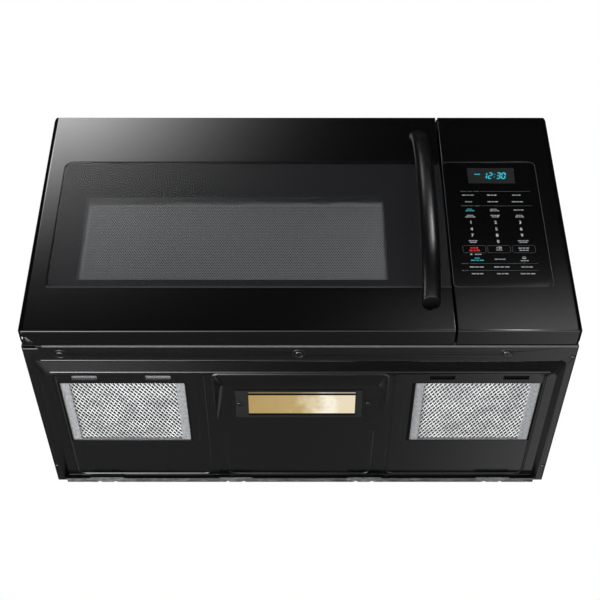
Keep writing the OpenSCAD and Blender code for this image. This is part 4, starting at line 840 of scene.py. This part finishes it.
bead = [(2.3, 0.3), (2.2, -0.02), (2.1, -0.06), (0.8, -0.8), (0.3, -0.86), (-0.4, -0.84), (-1.2, -0.66),
        (-1.9, -0.34), (-2.3, -0.02), (-2.3, 0.3)]
fields = (("left", -346.5, -137.5, 112), ("middle", -111.7, 108.9, 250), ("right", 133, 346, 112))
for name, low, high, front in fields:
    field = path_through([(low, front, 7), (low, 373.7, 7), (high, 373.7, 7), (high, front, 7)], 13)
    swept(f"field_bead_{name}", field, bead, pan_paint, "base_pan", smooth=20)
for name, x in (("left", -151), ("right", 149)):
    swept(f"filter_bead_{name}", path_through([(x, 118, 7), (x, 283, 7)], 0), arch(2.0, 0.45, 6), pan_paint,
          "base_pan")
print("beads round", len(fields), "fields, hem sides:", len(hem))

# %% [markdown]
# The lamp sits in a wedge-shaped hollow. Pressing steel can't make its side walls upright, so each has
# a sloping cheek that runs out where the hollow does, and a bead goes round its front. The lamp's cover
# has a narrow black lip in front of and behind the lens, and dark strips beside the filter openings paint
# the shade in the gaps there. The lips are level with the slope of the lens, which rises towards the front.

# %% Cheeks of the lamp hollow, edges of the openings
for name, side in (("left", -1), ("right", 1)):
    rows = []
    for y, depth in ((110, 0.0), (116, 1.17), (124, 2.72), (134, 4.67), (143, 6.4), (147, 6.9), (152, 6.45),
                     (170, 4.79), (195, 2.49), (215, 0.64), (222, 0.0)):
        wide = 12 * min(1.0, depth / 6) ** 0.7
        rows.append((y, depth, wide))
    fresh()
    bpy.ops.mesh.primitive_grid_add(x_subdivisions=len(rows) - 1, y_subdivisions=6, size=1)
    cheek = bpy.context.object
    cheek.name = f"lamp_hollow_cheek_{name}"
    for corner in cheek.data.vertices:
        y, depth, wide = rows[round((corner.co.x + 0.5) * (len(rows) - 1))]
        t = corner.co.y + 0.5
        corner.co = at(side * (121.95 - wide * t), y, 7.0 + depth * (1 - (1 - t) ** 1.6) - 0.03)
    edit(cheek)
    bpy.ops.mesh.remove_doubles(threshold=0.00002)
    if side < 0:
        bpy.ops.mesh.flip_normals()
    bpy.ops.object.mode_set(mode="OBJECT")
    shape(cheek, "SOLIDIFY", thickness=0.0003, offset=-1)
    bpy.ops.object.shade_smooth_by_angle(angle=math.radians(60))
    cheek.data.materials.append(pan_paint)
    carry(cheek, "chassis", "base_pan")
rim = [(3.0, 0.3), (2.9, -0.02), (2.7, -0.06), (0.9, -1.06), (0.5, -1.14), (0.0, -1.1), (-0.8, -0.8), (-1.5, -0.2),
       (-1.6, 0.3)]
swept("lamp_hollow_rim", path_through([(-124, 176, 7), (-124, 109.5, 7), (124, 109.5, 7), (124, 176, 7)], 9), rim,
      pan_paint, "base_pan")
print("cheek sizes:", [round(v * 1000, 1) for v in cheek.dimensions])

lips, lens_rise = [], 7 / 76
for y in (162.3, 207.4):
    fresh()
    bpy.ops.mesh.primitive_cube_add(size=1, location=at(2.5, y, 14 - (y - 146) * lens_rise - 2.15))
    lip = bpy.context.object
    lip.scale = (0.1556, 0.0044, 0.0005)
    lip.rotation_euler = (-math.atan(lens_rise), 0, 0)
    bpy.ops.object.transform_apply()
    lips.append(lip)

# Matt and dead black: the lens lips are this black, and the strips beside the filter openings and in the right
# filter's slots are painted shade.
shade_black = relief(material("matt black, lips and painted shade", "#050506", 0.8, Specular_IOR_Level=0.1), 1, 0.2, 0.05)
gap_shades, filter_x = [], 253
for middle in (-filter_x, filter_x):
    for side, wide in ((-1, 5.0), (1, 2.4)):
        gap_shades.append(bar(middle + side * (88.6 + wide / 2), 6.9, wide, 0.4, 130.5, 148))
join("filter_opening_seals", gap_shades, shade_black, "chassis", "base_pan", 0.1)
join("lamp_lens_lips", lips, shade_black, "chassis", "lamp_cover", 0.1)

# %% [markdown]
# Bare galvanised steel shows at the back edge, on the back plate and on the brackets inside. Hot-dip
# zinc grows flat crystals, the spangle, a few millimetres to a centimetre wide, each with its own tone
# and gloss. A Voronoi texture gives such cells: its colour output is one random value per crystal.
# Brackets and screws have a thin zinc plating instead, which is even and brighter. Galvanised metal
# shows through the left filter's two slots, and only darkness through the right one's.

# %% Galvanised and plated steel
def spangled(name, size, dark, light):
    made = material(name, light, 0.4, 0.9)
    tree = made.node_tree
    spot = add(tree, "ShaderNodeTexCoord")
    warp = add(tree, "ShaderNodeTexNoise", {"Vector": spot.outputs["Object"], "Scale": 1000 / size})
    bent = add(tree, "ShaderNodeVectorMath", {0: warp.outputs["Color"], 1: (size / 3000,) * 3,
                                              2: spot.outputs["Object"]}, operation="MULTIPLY_ADD")
    cells = add(tree, "ShaderNodeTexVoronoi", {"Vector": bent, "Scale": 1000 / size})
    grey = add(tree, "ShaderNodeSeparateColor", {0: cells.outputs["Color"]})
    tone = add(tree, "ShaderNodeValToRGB", {"Fac": grey}, [(0.0, dark), (1.0, light)])
    feed(made, "Base Color", tone)
    polish = add(tree, "ShaderNodeMapRange", {"Value": grey.outputs[1], "To Min": 0.3, "To Max": 0.5})
    feed(made, "Roughness", polish)
    return made


zinc = spangled("galvanised steel", 7, "#8d9194", "#b4b8ba")
plated = mottle(material("zinc-plated steel", "#a8aaa8", 0.3, 0.95), 2, "#9b9da0", "#b6b7b4", (0.24, 0.4))
dressed("back_plate", zinc, 0)
for node in ("component_tray", "waveguide"):
    dressed(node, zinc, 0.25)
for node in ("hinge_brackets", "handle_screws"):
    dressed(node, plated, 0.25)
dressed("latch_spring", plated, 0)
slot_size, slot_offsets = (9.9, 42, 0.8, 110.5, 13.5), (-52, 52)
vent_strips = [bar(-filter_x + offset, *slot_size) for offset in slot_offsets]
# The same zinc in shadow and seen aslant: a dull mid grey.
vent_metal = mottle(material("galvanised strip", "#87898c", 0.5, 0.3), 6, "#7c7e81", "#929497", (0.42, 0.56))
join("vent_backing", vent_strips, vent_metal, "chassis", "base_pan", 0.2)
# Black bars in the right filter's two slots: painted shade.
slot_painted_shade = [bar(filter_x + offset, *slot_size) for offset in slot_offsets]
join("slot_painted_shade", slot_painted_shade, shade_black, "chassis", "base_pan", 0.2)
print("slots backed:", len(vent_strips) + len(slot_painted_shade))

# %% [markdown]
# Every other solid gets its own real material from one table. They show through the door when it is
# open, through the openings, and when the part is taken apart. Each material has a line on what it is
# and what the eye gets from it. The noise sizes are those of real grain, flakes and streaks.

# %% Materials of the inner parts
# enamel fired on sheet steel and speckled, so that stains show less: smooth, half gloss
cavity_enamel = mottle(material("speckled grey enamel", "#8b8d8f", 0.3, Coat_Weight=0.3), 1.1, "#85878a", "#979a9c",
                       (0.24, 0.36))
# the same enamel in a darker grey and without speckles
choke_enamel = mottle(material("grey enamel", "#6d6f71", 0.32, Coat_Weight=0.2), 2, "#696b6d", "#75777a",
                      (0.26, 0.38))
# enamel sprayed on the door's inner sheet: black, with a soft sheen
door_paint = relief(mottle(material("black enamel", "#1a1a1b", 0.35), 4, "#171718", "#1f1f20", (0.3, 0.4)), 0.8,
                    0.1, 0.05)
# acetal moulded for parts that run without grease: milky white and waxy
acetal = relief(mottle(material("white acetal", "#dedcd6", 0.45), 6, "#d9d7d1", "#e4e2dc", (0.4, 0.5)), 0.6, 0.1,
                0.03)
# glass pressed in a mould: clear, with gentle waves and a bright edge
tray_glass = relief(material("pressed soda-lime glass", "#dfeceb", 0.06, IOR=1.52, Alpha=0.38), 22, 0.06, 0.4)
# glass floated flat: clear, with hardly a wave in what it mirrors
inner_glass = relief(material("clear float glass", "#dfe8e8", 0.03, IOR=1.52, Alpha=0.22), 40, 0.03, 0.3)
# mica pressed from flakes: brown and gold, shiny here and dull there
mica = mottle(material("mica sheet", "#b9a67c", 0.5, Coat_Weight=0.2), 5, "#a8946a", "#c8b78e", (0.35, 0.6),
              (1, 1, 2))
# aluminium sheet stamped thin: pale grey and softly metallic
fins = mottle(material("stamped aluminium", "#b9bbbd", 0.35, 0.9), 3, "#adafb2", "#c6c8ca", (0.28, 0.42))
# a can drawn from aluminium: bright, with faint lines along the way it was drawn
can = mottle(material("drawn aluminium can", "#b4b6b9", 0.28, 0.95), 4, "#a9abaf", "#c1c3c6", (0.22, 0.36),
             (1, 1, 0.08))
# epoxy cast round a part: black, a little uneven, half gloss
epoxy = relief(material("black epoxy", "#18181a", 0.4), 1.5, 0.15, 0.06)
# lacquer over a circuit board: an even green with a hard gloss
board_green = mottle(material("green solder mask", "#1f5a34", 0.35), 9, "#1a4f2d", "#27693d", (0.28, 0.42))
# steatite pressed and fired: cream white, like an eggshell
ceramic = mottle(material("white steatite ceramic", "#d8d2c6", 0.4), 2, "#d2ccc0", "#dfdacf", (0.34, 0.48))
# sheet steel rolled for motors: grey, with fine lines from the rolls
motor_steel = mottle(material("rolled motor steel", "#9a9c9e", 0.38, 0.9), 2.5, "#8f9193", "#a6a8aa",
                     (0.3, 0.46), (0.15, 1, 1))
# sheet steel with a thin dip of paint: charcoal and dull
blower_black = relief(mottle(material("black blower sheet", "#28292b", 0.45), 7, "#252628", "#2d2e30",
                             (0.4, 0.5)), 1, 0.1, 0.05)
# rubber moulded soft: deep black, without gloss
rubber = relief(mottle(material("black EPDM rubber", "#121213", 0.75, Specular_IOR_Level=0.3), 2, "#101011",
                       "#171718"), 0.7, 0.3, 0.06)
# crushed charcoal in grains of about 2 mm: rough, black, with grey facets
charcoal = relief(mottle(material("activated charcoal granules", "#1c1c1d", 0.9, Specular_IOR_Level=0.2), 2.2,
                         "#101011", "#2e2e30"), 2.2, 0.9, 0.8)
# aluminium brightened in a bath: nearly a mirror
reflector = mottle(material("bright-dipped aluminium", "#d5d6d8", 0.2, 1.0), 6, "#cfd0d2", "#dcdddf", (0.14, 0.26))
# glass frosted inside, with the lamp lit: warm and soft all over
bulb_glass = relief(material("frosted bulb glass", "#f3ead4", 0.35, Emission_Color=ink("#ffdf9e"),
                             Emission_Strength=1.0), 1, 0.05, 0.02)
# polyester film over the key contacts: grey, flat and dull
membrane = relief(material("grey polyester membrane", "#4a4e54", 0.5), 1, 0.08, 0.02)
# steel sheets stacked and varnished: brownish, with lines along the stack
lacquer = mottle(material("varnished silicon steel", "#5a5450", 0.4, 0.6), 0.9, "#4f4a46", "#68615b", (0.34, 0.5),
                 (1, 6, 1))
# copper wire wound and dipped in varnish: orange brown, with a line for each layer
varnish = mottle(material("varnished copper winding", "#8c4a22", 0.35, 0.7), 1.2, "#7a3e1b", "#a3592b",
                 (0.28, 0.42), (1, 1, 6))
# PBT moulded with glass fibre: pale grey, slightly grainy
grey_pbt = relief(mottle(material("grey PBT", "#d3d3cf", 0.5), 5, "#cfcfcb", "#d8d8d4"), 0.8, 0.12, 0.04)
# the same in black, with a little more gloss to the eye
black_pbt = relief(mottle(material("black PBT", "#1b1c1e", 0.5), 5, "#19191b", "#202123"), 0.8, 0.15, 0.05)

table = {
    # a solid's finish, and the width of its soft edges in millimetres
    "oven_cavity": (cavity_enamel, 0.3), "door_choke": (choke_enamel, 0.3), "door_inner_panel": (door_paint, 0.25),
    "choke_cover": (abs_matt, 0.3), "inner_window": (inner_glass, 0.3), "glass_tray": (tray_glass, 0.3),
    "turntable_coupler": (acetal, 0.3), "roller_ring": (acetal, 0.3), "roller_1": (acetal, 0.3),
    "roller_2": (acetal, 0.3), "roller_3": (acetal, 0.3), "turntable_motor": (motor_steel, 0.3),
    "waveguide_cover": (mica, 0.15), "magnetron": (fins, 0), "hv_capacitor": (can, 0.3), "hv_diode": (epoxy, 0.2),
    "noise_filter": (board_green, 0.2), "control_board": (board_green, 0.2), "thermal_cutouts": (ceramic, 0.2),
    "cavity_lamp": (ceramic, 0.3), "cooling_fan_frame": (black_pbt, 0.3), "cooling_fan_motor": (motor_steel, 0.3),
    "cooling_fan_blade": (acetal, 0), "latch_board": (grey_pbt, 0.3), "interlock_switches": (black_pbt, 0.3),
    "latch_key": (acetal, 0.3), "blower_housing": (blower_black, 0), "blower_wheels": (fins, 0),
    "blower_motor": (motor_steel, 0.3), "cord_grommet": (rubber, 0.4), "charcoal_filter": (charcoal, 0),
    "cooktop_lamp_housing": (reflector, 0.2), "cooktop_lamp_bulb": (bulb_glass, 0), "key_membrane": (membrane, 0.1),
    "display_module": (epoxy, 0.2),
}
for node, (finish, edge) in table.items():
    dressed(node, finish, edge)
transformer = dressed("hv_transformer", lacquer, 0.3)
print("inner solids dressed:", len(table) + 1)

# %% [markdown]
# The transformer is one solid, but its core is stacked steel and its coils are copper. A second
# material goes on the faces that lie in front of or behind the core, which are the coils.

# %% Copper coils
transformer.data.materials.append(varnish)
coil_low, coil_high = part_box("hv_transformer")
coil_deep = 0.0118
for face in transformer.data.polygons:
    if face.center.y < coil_low[1] + coil_deep or face.center.y > coil_high[1] - coil_deep:
        face.material_index = 1
print("coil faces:", sum(face.material_index for face in transformer.data.polygons))

# %% [markdown]
# The lamp's lens is frosted glass, lit from behind by a bulb near its right end: warm amber on the
# left, nearly white on the right. The glow is an emission that follows x, with a brighter spot in front
# of the bulb. Its level stays near 1, so it reads as a lit lens and doesn't light the room.

# %% Lamp lens
lens_glass = material("frosted lens, lit", "#4a3d22", 0.35, IOR=1.5, Emission_Strength=0.9)
lens_glass.diffuse_color = ink("#c9b58a")      # plain views without shaders show the glow's colour
tree = lens_glass.node_tree
spot = add(tree, "ShaderNodeTexCoord")
parts = add(tree, "ShaderNodeSeparateXYZ", {"Vector": spot.outputs["Object"]})
lens_low, lens_high = limits("lamp_lens")
along = add(tree, "ShaderNodeMapRange", {"Value": parts.outputs["X"], "From Min": at(lens_low.x, 0, 0).x,
                                         "From Max": at(lens_high.x, 0, 0).x})
streak = add(tree, "ShaderNodeTexNoise", {"Vector": spot.outputs["Object"], "Scale": 60.0, "Detail": 2.0})
shift = add(tree, "ShaderNodeMath", {0: streak, 1: 0.3, 2: along}, operation="MULTIPLY_ADD")
warm = add(tree, "ShaderNodeValToRGB", {"Fac": shift},
           [(0.15, "#a98d58"), (1.0, "#e9dcc0"), (0.6, "#b39c68"), (0.78, "#dccfae"), (0.9, "#fbf6e6")])
feed(lens_glass, "Emission Color", warm)
dressed("lamp_lens", lens_glass, 0.5)
print("lens from x", round(lens_low.x, 1), "to", round(lens_high.x, 1))

# %% [markdown]
# A pan-head screw isn't a plain disc. Its head is a low dome with a rounded rim, and a cross is pressed
# into it. Each is a cylinder here whose face is drawn in by insets to round the rim, and whose middle
# gets four arms pushed inward. The rim's bright dot is the upper left soft spot, mirrored. The pan
# round each front screw is pressed up in a shallow ring, so a low ring lies about it.

# %% Screws
# Black nickel is a thin, dark plating on a smooth head: a dark mirror.
screw_steel = mottle(material("black nickel screw", "#5c5d60", 0.18, 1.0), 1.5, "#545558", "#66676a",
                     (0.14, 0.22))


def pan_head(x, y, z, radius, high, shank):
    fresh()
    bpy.ops.mesh.primitive_cylinder_add(vertices=32, radius=radius / 1000, depth=high / 1000,
                                        location=(0, 0, -high / 2000))
    head = bpy.context.object
    bpy.ops.object.transform_apply(location=True)
    bpy.ops.object.mode_set(mode="EDIT")
    bpy.ops.mesh.select_all(action="DESELECT")
    mesh = bmesh.from_edit_mesh(head.data)
    for edge in mesh.edges:
        edge.select = all(corner.co.z < -high / 2000 for corner in edge.verts)
    bmesh.update_edit_mesh(head.data)
    bpy.ops.mesh.bevel(offset=0.8 * high / 1000, segments=5, affect="EDGES")
    mesh = bmesh.from_edit_mesh(head.data)
    for face in mesh.faces:
        face.select = face.normal.z < -0.99 and face.calc_center_median().z < -high / 2000
    bmesh.update_edit_mesh(head.data)
    bpy.ops.mesh.inset(thickness=0.3 * radius / 1000)
    bpy.ops.transform.translate(value=(0, 0, 0.02 * radius / 1000))
    bpy.ops.object.mode_set(mode="OBJECT")
    arms = []
    for wide, long in ((0.26, 1.05), (1.05, 0.26)):
        bpy.ops.mesh.primitive_cube_add(size=1, location=(0, 0, -high / 1000))
        arm = bpy.context.object
        arm.scale = (wide * radius / 1000, long * radius / 1000, 1.1 * high / 1000)
        bpy.ops.object.transform_apply(location=True, scale=True)
        arms.append(arm)
    for arm in arms:
        shape(head, "BOOLEAN", operation="DIFFERENCE", object=arm, solver="EXACT")
        bpy.data.objects.remove(arm)
    fresh()
    bpy.ops.mesh.primitive_cylinder_add(vertices=16, radius=0.0019, depth=shank / 1000,
                                        location=(0, 0, shank / 2000))
    stem = bpy.context.object
    bpy.ops.object.transform_apply(location=True)
    for piece in (head, stem):
        piece.data.transform(Matrix.Translation(at(x, y, z)))
    return [head, stem]


front_screws = ((-329, 52), (-2, 51), (283, 50))
pan_screws = []
for x, y in front_screws:
    pan_screws += pan_head(x, y, -0.01, 5.5, 1.55, 6.9)
for x, y in ((-375, 339.5), (375, 59), (375, 340.5)):
    pan_screws += pan_head(x, y, -0.01, 3.6, 1.55, 6.9)
made = join("base_screw_heads", pan_screws, screw_steel, "chassis", "base_screws", 0)
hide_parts("base_screws")
take(made)
bpy.ops.object.shade_smooth_by_angle(angle=math.radians(32))
for number, (x, y) in enumerate(front_screws):
    ring = [(x + 8.3 * math.cos(a), y + 8.3 * math.sin(a), 0) for a in (math.tau * k / 24 for k in range(24))]
    swept(f"screw_ring_{number + 1}", path_through(ring, 0.4, closed=True, steps=1), arch(2.2, 0.4, 6), pan_paint,
          "base_pan", closed=True)
print("screw faces:", len(made.data.polygons))
dressed("lamp_screws", screw_steel, 0.7, 30, 4)

# %% [markdown]
# Each grease filter is an aluminium frame round several layers of expanded metal. The solid stands for
# the layers by one slab, and here they are real strands: wide ones that run one way and lean to the
# light, because stretching the metal twists them, narrow ones that cross these, and dark ones behind.
# The right filter has them the other way round. One strand is a thin bar, turned and leaned, then an
# array repeats it and cuts trim it to the frame. The photograph's pattern comes back every 5.5 mm. It is
# drawn 6.4 mm apart, as coarse as it needs to be to show.

# %% Expanded metal
# The layers behind are painted nearly black: painted shade for the dark they lie in.
inner_mesh_painted_shade = mottle(material("expanded aluminium, inner layer, painted shade", "#161617", 0.5, 0.2), 5, "#121213", "#1c1c1d",
                    (0.42, 0.56))
# Aluminium that has gone dull in air and lies slightly uneven: white, with greyer patches.
bright_mesh = mottle(material("expanded aluminium", "#f5f6f7", 0.6, Specular_IOR_Level=0.3), 22, "#c6c7c9",
                     "#ffffff", (0.55, 0.65))
# Strip rolled from aluminium: grey and half dull, with faint lines from the rolls.
strip_metal = mottle(material("rolled aluminium strip", "#a8aaac", 0.42, 0.35), 2.5, "#8f9194", "#bfc1c3",
                     (0.36, 0.5), (1, 0.4, 1))


def strands(low, high, z, rise, wide, lean, way, pitch=6.4):
    """Parallel strands between two corners, one a pitch further in x than the last.

    A strand goes a pitch sideways in each rise, and way says to which side."""
    long = math.hypot(1, pitch / rise) * (high[1] - low[1] + 4)
    fresh()
    bpy.ops.mesh.primitive_cube_add(size=1)
    made = bpy.context.object
    made.scale = (long / 1000, wide / 1000, 0.0003)
    made.rotation_euler = (math.radians(lean), 0, way * math.atan2(rise, pitch))
    bpy.ops.object.transform_apply(rotation=True, scale=True)
    reach = (high[1] - low[1] + 4) * pitch / rise / 2
    first = low[0] - pitch * math.ceil(reach / pitch)
    made.data.transform(Matrix.Translation(at(first, (low[1] + high[1]) / 2, z)))
    shape(made, "ARRAY", count=math.ceil((high[0] + reach - first) / pitch), use_relative_offset=False,
          use_constant_offset=True, constant_offset_displace=(pitch / 1000, 0, 0))
    bpy.ops.object.mode_set(mode="EDIT")
    for corner, facing in (((low[0], 0), (-1, 0)), ((high[0], 0), (1, 0)), ((0, low[1]), (0, -1)),
                           ((0, high[1]), (0, 1))):
        bpy.ops.mesh.select_all(action="SELECT")
        bpy.ops.mesh.bisect(plane_co=at(*corner, z), plane_no=(*facing, 0), clear_outer=True, use_fill=True)
    bpy.ops.object.mode_set(mode="OBJECT")
    return made


end_rim, side_rim = 17.5, 7.5      # how far the frame covers the mesh
for side in ("left", "right"):
    frame_low, frame_high = limits("filter_frame_" + side)
    mesh_low, mesh_high = limits("filter_mesh_" + side)
    low, high = (frame_low.x + end_rim, frame_low.y + side_rim), (frame_high.x - end_rim, frame_high.y - side_rim)
    way, wide = (1, 1.9) if side == "left" else (-1, 1.5)
    outer = [strands(low, high, mesh_low.z + 0.9, 10.2, wide, way * 10, way),
             strands(low, high, mesh_low.z + 1.5, 14.0, 1.1, way * 10, -way)]
    inner = [strands((low[0] + 2, low[1] + 2), (high[0] - 2, high[1] - 2), mesh_low.z + 3.8, 10.2, 1.2, 35, turn)
             for turn in (1, -1)]
    made = join("filter_mesh_" + side + "_strands", outer, bright_mesh, "filter_" + side, "filter_mesh_" + side, 0)
    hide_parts("filter_mesh_" + side)
    join("filter_mesh_" + side + "_inner", inner, inner_mesh_painted_shade, "filter_" + side, "filter_mesh_" + side, 0)
    dressed("filter_frame_" + side, strip_metal, 0.5)
    print(side, "mesh faces:", len(made.data.polygons), "slab", [round(v, 1) for v in mesh_low],
          [round(v, 1) for v in mesh_high])
